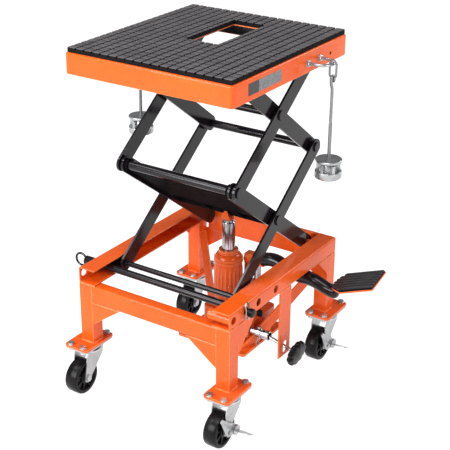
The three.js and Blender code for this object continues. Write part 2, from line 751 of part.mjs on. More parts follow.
function pedalSheet(inset, low, high) {
  const middle = [52, 100];
  const points = pedalOutline.map(([s, y]) => [
    middle[0] + (s - middle[0]) * (1 - inset),
    middle[1] + (y - middle[1]) * (1 - inset),
  ]);
  return onPedal(slabZ(points, [low, high]));
}

// Lever block on the fulcrum pin, the curved arm that passes under the right rail, and the foot plate.
function pedalArm() {
  const block = box([28, 82], [PUMP.y - 11, PUMP.y + 11], [235.8, 258]);
  const window = box([27, 46], [PUMP.y - 6.6, PUMP.y + 6.6], [230, 260]);
  const pin = bar(4, [PUMP.fulcrumX, PUMP.y - 11, PUMP.fulcrumZ], [PUMP.fulcrumX, PUMP.y + 11, PUMP.fulcrumZ], 16);
  const centre = [
    [74, 247],
    [92, 256],
    [108, 257],
    [126, 247],
    [145, 238],
    [165, 236.5],
    [188, 236.5],
    [208, 233],
    [228, 226],
    [248, 222],
    [264, 222],
  ].map(([x, z]) => [x, PUMP.y, z]);
  const tube = cut(wire(centre, PUMP.armRadius, 30, false, 12), onPedal(box([-4, 140], [40, 160], [3, 60])));
  return join(cut(block, window), pin, tube, pedalSheet(0, 0, 3));
}
add("pedal_arm", pedalArm(), black);
add("pedal_pad", pedalSheet(0.03, 3 + GAP, 10), rubber);

// ---- release linkage ----
// Socket on the jack's valve stem, with its cross pin.
function releaseSocket() {
  const { y, z, crossPinX } = RELEASE;
  const tube = cut(
    join(bar(7, [99, y, z], [116, y, z], 24), bar(10.5, [114, y, z], [146, y, z], 24)),
    bar(8, [126, y, z], [150, y, z], 18),
  );
  const stem = bar(4, [82, y, z], [101, y, z], 14);
  const crossPin = bar(2.6, [crossPinX, y, z - 15], [crossPinX, y, z + 15], 10);
  return join(tube, stem, crossPin);
}
add("release_socket", releaseSocket(), zinc);

// Rod through the guide slot, and the scalloped foot knob on its end.
function releaseKnob() {
  const start = new THREE.Vector3(137, RELEASE.y, RELEASE.z);
  const slot = new THREE.Vector3(...RELEASE.slot);
  const along = slot.clone().sub(start).normalize();
  const at = (x) => start.clone().addScaledVector(along, (x - start.x) / along.x);
  const rod = bar(4, start.toArray(), at(RELEASE.knobX + 3).toArray(), 14);
  const lobes = Array.from({ length: 60 }, (_, i) => {
    const angle = (2 * Math.PI * i) / 60;
    const radius = 27 + 1.8 * Math.cos(10 * angle);
    return [radius * Math.cos(angle), radius * Math.sin(angle)];
  });
  const knob = slabX(lobes, [-8, 8]);
  const turn = new THREE.Quaternion().setFromUnitVectors(new THREE.Vector3(1, 0, 0), along);
  knob.applyQuaternion(turn).translate(...at(RELEASE.knobX).toArray());
  return join(rod, knob);
}
add("release_knob", releaseKnob(), rubber);

// ---- height-lock bar and its R-clip ----
const lock = { y: HOLE.y[1], z: HOLE.z, ringX: -232, ringRadius: 14 };
function lockBar() {
  const shaft = bar(7.5, [-205, lock.y, lock.z], [206, lock.y, lock.z], 24);
  const collar = bar(10.5, [-218, lock.y, lock.z], [-191, lock.y, lock.z]);
  const ring = wire(
    Array.from({ length: 12 }, (_, i) => {
      const angle = (2 * Math.PI * i) / 12;
      const r = lock.ringRadius;
      return [lock.ringX + r * Math.cos(angle), lock.y, lock.z - 1.5 + r * Math.sin(angle)];
    }),
    2.6,
    30,
    true,
  );
  return cut(join(shaft, collar, ring), bar(2.4, [194, lock.y, lock.z - 12], [194, lock.y, lock.z + 12], 10));
}
add("lock_bar", lockBar(), black);

function rClip() {
  const x = 194;
  const straight = bar(1.6, [x, lock.y, lock.z - 17], [x, lock.y, lock.z + 16], 8);
  const loop = wire(
    [
      [x, lock.y, lock.z + 14],
      [x, lock.y - 2, lock.z + 20],
      [x, lock.y - 7, lock.z + 24],
      [x, lock.y - 12.5, lock.z + 19],
      [x, lock.y - 10.6, lock.z + 11],
      [x, lock.y - 9.8, lock.z + 4],
      [x, lock.y - 11.5, lock.z - 4],
      [x, lock.y - 10.5, lock.z - 12],
    ],
    1.6,
    26,
  );
  return join(straight, loop);
}
add("r_clip", rClip(), zinc);

export default table;
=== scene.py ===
"""Looks of the foot-pumped scissor lift table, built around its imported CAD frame."""

import json
import math

import bmesh
import bpy
from mathutils import Matrix, Vector, noise

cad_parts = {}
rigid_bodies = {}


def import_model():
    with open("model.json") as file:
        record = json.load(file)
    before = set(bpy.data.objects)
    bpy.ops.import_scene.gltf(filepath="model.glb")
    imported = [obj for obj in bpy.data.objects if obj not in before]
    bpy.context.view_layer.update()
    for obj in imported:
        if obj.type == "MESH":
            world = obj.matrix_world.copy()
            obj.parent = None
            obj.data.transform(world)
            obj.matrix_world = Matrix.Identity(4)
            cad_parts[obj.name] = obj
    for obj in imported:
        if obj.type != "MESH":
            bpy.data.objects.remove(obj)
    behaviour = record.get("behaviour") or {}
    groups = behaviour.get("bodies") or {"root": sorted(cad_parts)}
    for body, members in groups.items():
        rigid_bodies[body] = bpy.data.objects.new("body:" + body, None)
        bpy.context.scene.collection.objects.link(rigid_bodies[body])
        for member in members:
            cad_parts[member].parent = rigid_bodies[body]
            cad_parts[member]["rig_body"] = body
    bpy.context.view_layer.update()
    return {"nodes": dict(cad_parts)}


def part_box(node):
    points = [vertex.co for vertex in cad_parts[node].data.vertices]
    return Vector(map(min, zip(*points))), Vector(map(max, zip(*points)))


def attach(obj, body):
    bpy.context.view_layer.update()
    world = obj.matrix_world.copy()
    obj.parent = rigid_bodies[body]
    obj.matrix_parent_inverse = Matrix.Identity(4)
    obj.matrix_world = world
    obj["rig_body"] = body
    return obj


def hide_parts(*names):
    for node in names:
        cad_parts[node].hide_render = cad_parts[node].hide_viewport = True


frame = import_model()

MM = 0.001
TAU = 2 * math.pi
UP = (0, 0, 1)
SIDES = {"left": -1, "right": 1}
ENDS = {"front": -1, "back": 1}

# The table's own place: x = 0 midway between the rails, y = 0 at their middle, z = 0 on the floor.
HOME = (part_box("rail_left")[0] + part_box("rail_right")[1]) / 2
HOME.z = 0


def at(x, y, z):
    """A point given in the table's own millimetres, as metres in the row frame."""
    return HOME + Vector((x, y, z)) * MM


def extent(node):
    """A CAD node's lowest and highest corners in the table's own millimetres."""
    low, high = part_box(node)
    return (low - HOME) / MM, (high - HOME) / MM


# ---- materials


class Paint:
    """A Principled material under construction, with the record's slot that it belongs to."""

    def __init__(self, name, slot, **sockets):
        self.slot = slot
        self.material = bpy.data.materials.new(name)
        self.material.use_nodes = True
        self.nodes = self.material.node_tree.nodes
        self.links = self.material.node_tree.links
        self.shader = self.nodes["Principled BSDF"]
        for socket, value in sockets.items():
            self.shader.inputs[socket.replace("_", " ")].default_value = value
        self.place = self.nodes.new("ShaderNodeTexCoord").outputs["Object"]
        self.height = None

    def noise(self, scale, detail=3.0, stretch=(1, 1, 1)):
        """Noise with features about 1/scale metres across."""
        mapping = self.nodes.new("ShaderNodeMapping")
        mapping.inputs["Scale"].default_value = stretch
        self.links.new(self.place, mapping.inputs["Vector"])
        texture = self.nodes.new("ShaderNodeTexNoise")
        texture.inputs["Scale"].default_value = scale
        texture.inputs["Detail"].default_value = detail
        self.links.new(mapping.outputs["Vector"], texture.inputs["Vector"])
        return texture.outputs["Fac"]

    def ramp(self, value, low, high, start=0.3, end=0.7):
        """Colours or grey levels between low and high as value goes from start to end."""
        node = self.nodes.new("ShaderNodeValToRGB")
        for element, place, colour in zip(node.color_ramp.elements, (start, end), (low, high)):
            element.position = place
            element.color = (*(colour if isinstance(colour, tuple) else [colour] * 3), 1)
        self.links.new(value, node.inputs["Fac"])
        return node.outputs["Color"]

    def mix(self, factor, first, second):
        """A colour between two colour sockets."""
        node = self.nodes.new("ShaderNodeMix")
        node.data_type = "RGBA"
        colours = [s for s in node.inputs if s.type == "RGBA"]
        self.links.new(factor, node.inputs["Factor"])
        self.links.new(first, colours[0])
        self.links.new(second, colours[1])
        return next(s for s in node.outputs if s.type == "RGBA")

    def feed(self, socket, value):
        """Links a value into one of the shader's sockets."""
        self.links.new(value, self.shader.inputs[socket])

    def bump(self, height, depth_mm, strength=1.0):
        """Adds relief of the given depth on top of any relief already there."""
        node = self.nodes.new("ShaderNodeBump")
        node.inputs["Distance"].default_value = depth_mm * MM
        node.inputs["Strength"].default_value = strength
        self.links.new(height, node.inputs["Height"])
        if self.height is not None:
            self.links.new(self.height, node.inputs["Normal"])
        self.height = node.outputs["Normal"]
        self.links.new(self.height, self.shader.inputs["Normal"])

    def edge_mask(self, width_mm):
        """1 on sharp edges and 0 on flats, from how much a rounded normal departs from the true one."""
        bevel = self.nodes.new("ShaderNodeBevel")
        bevel.samples = 4
        bevel.inputs["Radius"].default_value = width_mm * MM
        true_normal = self.nodes.new("ShaderNodeNewGeometry").outputs["Normal"]
        dot = self.nodes.new("ShaderNodeVectorMath")
        dot.operation = "DOT_PRODUCT"
        self.links.new(bevel.outputs["Normal"], dot.inputs[0])
        self.links.new(true_normal, dot.inputs[1])
        return self.ramp(dot.outputs["Value"], 1.0, 0.0, 0.80, 0.985)


def powder_coat(name, slot, depth=1.0):
    """Glossy orange coat: orange-peel relief, mottling, and paler edges that are a painted highlight; depth
    scales its colour, as painted shade below 1 and painted highlight above 1.
    """
    paint = Paint(name, slot, Coat_Weight=0.18, Coat_Roughness=0.05, Specular_IOR_Level=0.2)

    def shade(red, green, blue):
        return (min(1, red * depth), green * depth, blue * depth)

    body = paint.ramp(paint.noise(9), shade(0.74, 0.088, 0.006), shade(0.84, 0.112, 0.010))
    dark, light = shade(0.68, 0.074, 0.004), shade(0.86, 0.126, 0.012)
    specks = paint.ramp(paint.noise(700, 2), dark, light, 0.25, 0.75)
    coat = paint.mix(paint.ramp(paint.noise(60), 0.1, 0.35), body, specks)
    # paler orange on every edge: a painted highlight line along it
    wear_and_highlight = paint.ramp(paint.noise(140), shade(0.94, 0.24, 0.07), shade(0.98, 0.48, 0.24))
    paint.feed("Base Color", paint.mix(paint.edge_mask(2.2), coat, wear_and_highlight))
    paint.feed("Roughness", paint.ramp(paint.noise(45, 4), 0.20, 0.34))
    paint.bump(paint.noise(420, 2), 0.03, 0.5)
    paint.bump(paint.noise(60, 2), 0.05, 0.2)
    return paint


def black_enamel():
    """Glossy black enamel on rolled bar, with rubbed edges."""
    gloss = {"Coat_Weight": 0.1, "Coat_Roughness": 0.04, "Specular_IOR_Level": 0.22}
    paint = Paint("black_enamel", "black_paint", **gloss)
    body = paint.ramp(paint.noise(14), (0.006, 0.004, 0.006), (0.012, 0.009, 0.012))
    wear_and_highlight = paint.ramp(paint.noise(160), (0.05, 0.048, 0.05), (0.16, 0.155, 0.16))
    paint.feed("Base Color", paint.mix(paint.edge_mask(0.6), body, wear_and_highlight))
    paint.feed("Roughness", paint.ramp(paint.noise(38, 5), 0.11, 0.24))
    paint.bump(paint.noise(380, 2), 0.04, 0.45)
    paint.bump(paint.noise(70, 2), 0.03, 0.2)
    return paint


def satin_black():
    """Satin black on pressed plate: a dusty, barely shining film."""
    paint = Paint("satin_black", "black_paint", Specular_IOR_Level=0.04, IOR=1.12)
    body = paint.ramp(paint.noise(18, 4), (0.003, 0.0025, 0.0035), (0.006, 0.005, 0.006))
    dust = paint.ramp(paint.noise(210, 3), (0.004, 0.0035, 0.004), (0.010, 0.009, 0.010))
    paint.feed("Base Color", paint.mix(paint.ramp(paint.noise(30), 0.0, 0.35), body, dust))
    paint.feed("Roughness", paint.ramp(paint.noise(45, 4), 0.5, 0.66))
    paint.bump(paint.noise(500, 2), 0.04, 0.5)
    return paint


def zinc_plate(name, shade, rough):
    """Plated steel: faint clouding, a satin grain and dull patches."""
    paint = Paint(name, "zinc_plate", Metallic=0.92)
    dark = tuple(c * 0.78 for c in shade)
    paint.feed("Base Color", paint.ramp(paint.noise(55, 4), dark, shade))
    paint.feed("Roughness", paint.ramp(paint.noise(95, 4), *rough))
    paint.bump(paint.noise(900, 2), 0.02, 0.5)
    paint.bump(paint.noise(120, 3), 0.05, 0.3)
    return paint


def hard_chrome():
    """Polished hard chrome with fine scratches along the stroke."""
    paint = Paint("hard_chrome", "chrome_plate", Metallic=1.0)
    paint.feed("Base Color", paint.ramp(paint.noise(30), (0.32, 0.30, 0.32), (0.46, 0.44, 0.46)))
    streaks = paint.noise(900, 2, (1, 1, 0.03))
    paint.feed("Roughness", paint.ramp(streaks, 0.10, 0.26))
    paint.bump(streaks, 0.004, 0.5)
    return paint


def moulded_rubber(name, slot, dark, light, rough, shine=0.5):
    """Matte rubber with a pebbled skin and faint bloom."""
    paint = Paint(name, slot, Specular_IOR_Level=shine)
    base = paint.ramp(paint.noise(22, 4), dark, light)
    bloom = paint.ramp(paint.noise(320, 3), dark, tuple(c * 1.7 for c in light))
    paint.feed("Base Color", paint.mix(paint.ramp(paint.noise(75), 0.0, 0.4), base, bloom))
    paint.feed("Roughness", paint.ramp(paint.noise(60, 4), *rough))
    paint.bump(paint.noise(1100, 2), 0.05, 0.6)
    paint.bump(paint.noise(240, 3), 0.06, 0.35)
    return paint


def black_nylon(name, slot):
    """Moulded black nylon with scuffs and flow marks."""
    paint = Paint(name, slot, Specular_IOR_Level=0.16)
    base = paint.ramp(paint.noise(40, 4), (0.003, 0.0025, 0.003), (0.008, 0.0065, 0.008))
    scuff = paint.ramp(paint.noise(260, 3), (0.012, 0.011, 0.012), (0.05, 0.047, 0.049), 0.55, 0.8)
    paint.feed("Base Color", paint.mix(paint.edge_mask(0.8), base, scuff))
    paint.feed("Roughness", paint.ramp(paint.noise(70, 4), 0.22, 0.36))
    paint.bump(paint.noise(800, 2), 0.03, 0.5)
    return paint


def plate_label(name, dark, light):
    """Label stock: an even ground with a faint plain grain."""
    paint = Paint(name, "black_paint")
    paint.feed("Base Color", paint.ramp(paint.noise(500, 2), dark, light, 0.35, 0.65))
    paint.feed("Roughness", paint.ramp(paint.noise(90), 0.30, 0.42))
    paint.bump(paint.noise(900, 2), 0.01, 0.4)
    return paint


ORANGE = powder_coat("orange_powder_coat", "orange_paint")
# a darker copy of the orange coat: painted shade on the jack and the pedal's lever block
SHADED_ORANGE = powder_coat("jack_shaded_orange", "orange_paint", 0.72)
# a paler copy of the orange coat: painted highlight on the weld beads
WELD_HIGHLIGHT_ORANGE = powder_coat("weld_highlight_orange", "orange_paint", 1.14)
BLACK = black_enamel()
SATIN = satin_black()
ZINC = zinc_plate("zinc_plate", (0.50, 0.51, 0.52), (0.26, 0.42))
STEEL = zinc_plate("polished_steel", (0.46, 0.45, 0.46), (0.14, 0.28))
BRIGHT = zinc_plate("bright_zinc", (0.74, 0.75, 0.77), (0.20, 0.34))
DULL = zinc_plate("dull_zinc", (0.30, 0.30, 0.31), (0.30, 0.46))
CHROME = hard_chrome()
DECK_RUBBER = moulded_rubber(
    "deck_rubber", "deck_rubber", (0.062, 0.056, 0.061), (0.104, 0.094, 0.101), (0.42, 0.56)
)
# a near-black copy of the rubber: painted shade in the mat's grooves, on its blocks' sides and between the
# pedal's ribs
GROOVE_SHADE_RUBBER = moulded_rubber(
    "groove_shade_rubber", "deck_rubber", (0.0025, 0.002, 0.003), (0.006, 0.005, 0.006), (0.6, 0.75), 0.1
)
PEDAL_RUBBER = moulded_rubber(
    "pedal_rubber", "pedal_rubber", (0.014, 0.012, 0.014), (0.030, 0.027, 0.030), (0.4, 0.55), 0.3
)
NYLON = black_nylon("black_nylon", "wheel_nylon")
KNOB_PLASTIC = black_nylon("knob_plastic", "knob_plastic")
LABEL_DARK = plate_label("label_dark", (0.020, 0.020, 0.024), (0.032, 0.031, 0.036))
LABEL_GREY = plate_label("label_grey", (0.09, 0.09, 0.10), (0.26, 0.26, 0.28))

# ---- mesh helpers

CREASE = math.radians(34)  # edges folded by less than this are shaded smooth


def link(obj):
    """Adds an object to the scene."""
    bpy.context.scene.collection.objects.link(obj)


def piece(name, bm, body, paint, stands_for=(), bevel=0.0, segments=2):
    """Finishes a mesh: outward normals, smooth rounds, crisp edges softened by a bevel, paint and body."""
    bmesh.ops.recalc_face_normals(bm, faces=bm.faces)
    for face in bm.faces:
        face.smooth = True
    for edge in bm.edges:
        edge.smooth = len(edge.link_faces) == 2 and edge.calc_face_angle(0) < CREASE
    mesh = bpy.data.meshes.new(name)
    bm.to_mesh(mesh)
    bm.free()
    mesh.materials.append(paint.material)
    obj = bpy.data.objects.new(name, mesh)
    link(obj)
    if bevel:
        modifier = obj.modifiers.new("soft_edges", "BEVEL")
        modifier.width = bevel * MM
        modifier.segments = segments
        modifier.limit_method = "ANGLE"
        modifier.angle_limit = CREASE
        modifier.harden_normals = True
        modifier.use_clamp_overlap = True
    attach(obj, body)
    if stands_for:
        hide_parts(*stands_for)


def cad_copy(node, cuts=()):
    """The CAD node's own shape as a clean mesh.

    A cut (axis, millimetre) runs through a hole, so that the faces round it stay simple.
    """
    bm = bmesh.new()
    bm.from_mesh(frame["nodes"][node].data)
    bmesh.ops.remove_doubles(bm, verts=bm.verts, dist=1e-6)
    for axis, place in cuts:
        normal = Vector((0, 0, 0))
        normal[axis] = 1
        everything = bm.verts[:] + bm.edges[:] + bm.faces[:]
        through = at(*(normal * place))
        made = bmesh.ops.bisect_plane(bm, geom=everything, dist=1e-7, plane_co=through, plane_no=normal)
        for item in made["geom_cut"]:
            if isinstance(item, bmesh.types.BMEdge):
                item.seam = True
    flat = math.radians(0.5)
    bmesh.ops.dissolve_limit(bm, angle_limit=flat, verts=bm.verts, edges=bm.edges, delimit={"SEAM"})
    return bm


def refine(node, paint, bevel, segments=2, cuts=()):
    """Shows a CAD node with softened edges and smooth rounds."""
    body = frame["nodes"][node]["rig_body"]
    piece(f"{node}_skin", cad_copy(node, cuts), body, paint, (node,), bevel, segments)


def drill(bm, tools):
    """Cuts one closed mesh out of another."""
    objects = []
    for name, part in (("drilled", bm), ("drill", tools)):
        bmesh.ops.recalc_face_normals(part, faces=part.faces)
        mesh = bpy.data.meshes.new(name)
        part.to_mesh(mesh)
        part.free()
        objects.append(bpy.data.objects.new(name, mesh))
        link(objects[-1])
    modifier = objects[0].modifiers.new("drill", "BOOLEAN")
    modifier.operation, modifier.solver, modifier.object = "DIFFERENCE", "EXACT", objects[1]
    result = bmesh.new()
    result.from_object(objects[0], bpy.context.evaluated_depsgraph_get())
    for obj in objects:
        mesh = obj.data
        bpy.data.objects.remove(obj)
        bpy.data.meshes.remove(mesh)
    return result


def ring_of(bm, points):
    """New vertices at the points."""
    return [bm.verts.new(p) for p in points]


def bridge(bm, first, second):
    """Quads between two rings of as many points."""
    count = len(first)
    for i in range(count):
        j = (i + 1) % count
        bm.faces.new((first[i], first[j], second[j], second[i]))


def bridge_all(bm, rings, closed=False):
    """Quads from each ring to the next, and from the last to the first if closed."""
    for first, second in zip(rings, rings[1:] + (rings[:1] if closed else [])):
        bridge(bm, first, second)


def axes_along(direction):
    """A direction's unit vector, and two more square to it and to each other."""
    along = Vector(direction).normalized()
    helper = Vector((0, 0, 1)) if abs(along.z) < 0.9 else Vector((1, 0, 0))
    across = along.cross(helper).normalized()
    return along, across, along.cross(across)


def lathe(bm, profile, centre, direction, segments, wobble=None):
    """Turns (radius, height) points in millimetres about a line; wobble(angle, height) scales the radius."""
    along, across, up = axes_along(direction)
    origin = at(*centre)
    rings = []
    for radius, height in profile:
        middle = origin + along * height * MM
        if radius <= 0:
            rings.append([bm.verts.new(middle)])
            continue
        points = []
        for i in range(segments):
            angle = TAU * i / segments
            reach = radius * (wobble(angle, height) if wobble else 1) * MM
            points.append(middle + (across * math.cos(angle) + up * math.sin(angle)) * reach)
        rings.append(ring_of(bm, points))
    for low, high in zip(rings, rings[1:]):
        if len(low) > 1 and len(high) > 1:
            bridge(bm, low, high)
        elif len(low) > 1 or len(high) > 1:
            tip, rim = (low[0], high) if len(low) == 1 else (high[0], low)
            for i in range(segments):
                bm.faces.new((tip, rim[i], rim[(i + 1) % segments]))
    return bm


def rod(bm, radius, start, end, segments):
    """A round bar between two points with chamfered ends."""
    span, chamfer = Vector(end) - Vector(start), 0.6
    length = span.length
    profile = [(0, 0), (radius - chamfer, 0), (radius, chamfer)]
    profile += [(radius, length - chamfer), (radius - chamfer, length), (0, length)]
    lathe(bm, profile, start, span, segments)


def sweep(bm, points, radius, sides, closed=False):
    """A round section carried along points; radius is a number or one number for each point."""
    path = [Vector(p) for p in points]
    count = len(path)
    radii = radius if isinstance(radius, (list, tuple)) else [radius] * count
    tangents = []
    for i in range(count):
        before = path[i - 1] if closed or i > 0 else path[i]
        after = path[(i + 1) % count] if closed or i < count - 1 else path[i]
        tangents.append((after - before).normalized())
    _, across, _ = axes_along(tangents[0])
    rings = []
    for point, tangent, reach in zip(path, tangents, radii):
        across = (across - tangent * across.dot(tangent)).normalized()
        up = tangent.cross(across)
        angles = [TAU * k / sides for k in range(sides)]
        ring = [point + (across * math.cos(a) + up * math.sin(a)) * reach for a in angles]
        rings.append(ring_of(bm, [at(*p) for p in ring]))
    bridge_all(bm, rings)
    if closed:
        # the last ring meets the first at whichever turn lies closest
        offsets = range(sides)
        turn = min(offsets, key=lambda k: (rings[-1][0].co - rings[0][k].co).length)
        bridge(bm, rings[-1], rings[0][turn:] + rings[0][:turn])
    else:
        bm.faces.new(rings[0])
        bm.faces.new(rings[-1])
    return bm


def turned(name, profile, centre, direction, segments, body, paint, stands_for=()):
    """A piece that is one turned shape."""
    bm = lathe(bmesh.new(), profile, centre, direction, segments)
    piece(name, bm, body, paint, stands_for)


def smooth_path(points, steps, closed=False):
    """Catmull-Rom points through the given ones, about the given number in all."""
    knots = [Vector(p) for p in points]
    count = len(knots)
    spans = count if closed else count - 1
    per_span = max(2, round(steps / spans))
    path = []
    for i in range(spans):
        near = range(i - 1, i + 3)
        a, b, c, d = (knots[k % count] if closed else knots[min(max(k, 0), count - 1)] for k in near)
        square, cube = 2 * a - 5 * b + 4 * c - d, 3 * b - a - 3 * c + d
        for s in range(per_span):
            t = s / per_span
            path.append(0.5 * (2 * b + (c - a) * t + square * t**2 + cube * t**3))
    if not closed:
        path.append(knots[-1])
    return path


def arc(centre, radius, start, end, steps, plane="xz"):
    """Points on a circle's arc, angles in degrees, in the xz or yz plane."""
    points = []
    for i in range(steps + 1):
        angle = math.radians(start + (end - start) * i / steps)
        a, b = radius * math.cos(angle), radius * math.sin(angle)
        offset = (a, 0, b) if plane == "xz" else (0, a, b)
        points.append(tuple(c + o for c, o in zip(centre, offset)))
    return points


def rectangle(x, y):
    """A rectangle's corners, from its spans along two axes."""
    return [(x[0], y[0]), (x[1], y[0]), (x[1], y[1]), (x[0], y[1])]


def rounded_rectangle(x, y, radius):
    """A rectangle's outline with round corners, from its spans along two axes."""
    steps = 6
    (x_low, x_high), (y_low, y_high) = ((low + radius, high - radius) for low, high in (x, y))
    centres = ((x_high, y_high), (x_low, y_high), (x_low, y_low), (x_high, y_low))
    points = []
    for quarter, (u, v) in enumerate(centres):
        for k in range(steps + 1):
            angle = (quarter + k / steps) * TAU / 4
            points.append((u + radius * math.cos(angle), v + radius * math.sin(angle)))
    return points


def prism(bm, outline, low, high, place):
    """Extrudes an outline between two heights; place(u, v, w) gives each corner's millimetres."""
    bottom = ring_of(bm, [at(*place(u, v, low)) for u, v in outline])
    top = ring_of(bm, [at(*place(u, v, high)) for u, v in outline])
    bridge(bm, bottom, top)
    bm.faces.new(bottom)
    bm.faces.new(top)
    return bm


def block(bm, low, high):
    outline = rectangle((low[0], high[0]), (low[1], high[1]))
    return prism(bm, outline, low[2], high[2], lambda u, v, w: (u, v, w))


# ---- base frame

noise.seed_set(4)  # without a seed, noise_vector differs from run to run
LOCK_HOLES = (-201.2, -155, -108.7, -41.6)  # along the rails
SHEET_FOLD = 4.5
LEG_TUBE = 32
FOOT_PLATE_TOP = 114.4
GUSSET_REACH = {"front": 66, "back": 40}


def weld(bm, start, end, radius):
    """A weld bead: a row of overlapping ripples between two points."""
    a, b = Vector(start), Vector(end)
    length = (b - a).length
    step, wavelength = 1.1, 3.4
    steps = max(6, round(length / step))
    points, radii = [], []
    for i in range(steps + 1):
        t = i / steps
        here = a.lerp(b, t)
        drift = noise.noise_vector(here * 0.13) * 0.5
        points.append(here + drift)
        ripple = 0.86 + 0.14 * math.sin(TAU * t * length / wavelength)
        taper = min(1, 8 * t + 0.35, 8 * (1 - t) + 0.35)
        radii.append(radius * ripple * taper * (1 + 0.15 * noise.noise(here * 0.21)))
    sweep(bm, points, radii, 8)


def front_beam():
    """The box tube under the rails, with rolled corners."""
    low, high = extent("crossbeam_front")
    outline = rounded_rectangle((low.y, high.y), (low.z, high.z), SHEET_FOLD)
    bm = prism(bmesh.new(), outline, low.x, high.x, lambda u, v, w: (w, u, v))
    piece("front_box_beam", bm, "base", ORANGE, ("crossbeam_front",))


def rail(side, sign):
    """Side channel whose two outer corners are rolled over a wide radius, as folded sheet is."""
    node = f"rail_{side}"
    low, high = extent(node)
    bm = cad_copy(node, [(1, y) for y in LOCK_HOLES])
    outer_x = high.x if sign > 0 else low.x
    folds = []
    for corner in (at(outer_x, 0, z) for z in (low.z, high.z)):
        for edge in bm.edges:
            offsets = [v.co - corner for v in edge.verts]
            if all(abs(o.x) < 1e-5 and abs(o.z) < 1e-5 for o in offsets):
                folds.append(edge)
    bmesh.ops.bevel(bm, geom=folds, offset=SHEET_FOLD * MM, segments=6, profile=0.5, affect="EDGES")
    piece(f"{node}_skin", bm, "base", ORANGE, (node,), 1.1, 3)


def base_frame():
    for side, sign in SIDES.items():
        rail(side, sign)
    front_beam()
    refine("crossbeam_back", ORANGE, 0.8)
    for end in ENDS:
        for side in SIDES:
            refine(f"leg_{end}_{side}", ORANGE, 1.5, 3)
    refine("jack_cradle", ORANGE, 0.7)
    refine("release_guide_bar", ORANGE, 0.6, 2, [(1, 4)])


def base_welds():
    """Beads where legs, gussets, beams, rails and foot plates meet."""
    rail_low, rail_high = extent("rail_right")
    outer, front = rail_high.x, -rail_low.y
    beam_low, beam_high = extent("crossbeam_front")
    back_low, back_high = extent("crossbeam_back")
    top = extent("leg_front_right")[1].z
    bottoms = {"front": beam_low.z, "back": back_low.z}
    foot = FOOT_PLATE_TOP + 0.6
    bm = bmesh.new()
    for sx in SIDES.values():
        for end, sy in ENDS.items():
            inner_x, inner_y = sx * (outer - LEG_TUBE), sy * (front - LEG_TUBE)
            corner_x, corner_y = sx * outer, sy * front
            face_x, face_y = sx * (outer - 1), sy * (front - 1)
            ring = rectangle((inner_x, corner_x), (inner_y, corner_y))
            for (xa, ya), (xb, yb) in zip(ring, ring[1:] + ring[:1]):
                weld(bm, (xa, ya, foot), (xb, yb, foot), 2.6)
            weld(bm, (face_x, inner_y, top), (face_x, corner_y, top), 1.5)
            weld(bm, (inner_x, face_y, top), (corner_x, face_y, top), 1.5)
            reach, bottom = GUSSET_REACH[end], bottoms[end]
            weld(bm, (face_x, sy * (front - LEG_TUBE - reach), top), (face_x, inner_y, top), 1.5)
            weld(bm, (face_x, inner_y, top - reach), (face_x, inner_y, top), 1.6)
            weld(bm, (inner_x, face_y, bottom - 52), (inner_x, face_y, bottom), 1.7)
            weld(bm, (inner_x, face_y, bottom), (sx * 86, face_y, bottom), 1.5)
        beam_end, beam_face = sx * beam_high.x, -front + 0.7
        weld(bm, (beam_end, beam_face, beam_low.z + 1), (beam_end, beam_face, top), 1.9)
        weld(bm, (beam_end, -front + 1, top), (sx * (outer - 42), -front + 1, top), 1.4)
        back_end = sx * back_high.x
        weld(bm, (back_end, front - 1, back_low.z), (back_end, front - 1, back_high.z), 1.6)
    guide_low, guide_high = extent("release_guide_bar")
    face, guide_top = outer - 1, guide_high.z
    weld(bm, (face, guide_low.y, guide_top), (face, guide_high.y, guide_top), 1.6)
    # the beads take the paler copy of the orange coat, as painted highlight
    piece("frame_welds", bm, "base", WELD_HIGHLIGHT_ORANGE)


# ---- casters

WHEEL_RIBS = 8
TRAIL = 31.6  # from a wheel's axle back to the axis that its fork swivels about


def hex_bolt(bm, centre, direction, across=6.3, height=5.2):
    """A hex head with a chamfered crown on a plain washer."""
    rim = across + 0.9
    washer = [(0, 0), (rim - 0.3, 0), (rim, 0.3), (rim, 1.1), (rim - 0.3, 1.4), (0, 1.4)]
    lathe(bm, washer, centre, direction, 32)
    start = Vector(centre) + Vector(direction).normalized() * 1.3
    crown = [
        (0, 0), (across, 0), (across, height - 2.2), (across - 0.9, height - 1.4),
        (across - 2.2, height - 1), (0, height - 0.8),
    ]
    lathe(bm, crown, start, direction, 6)


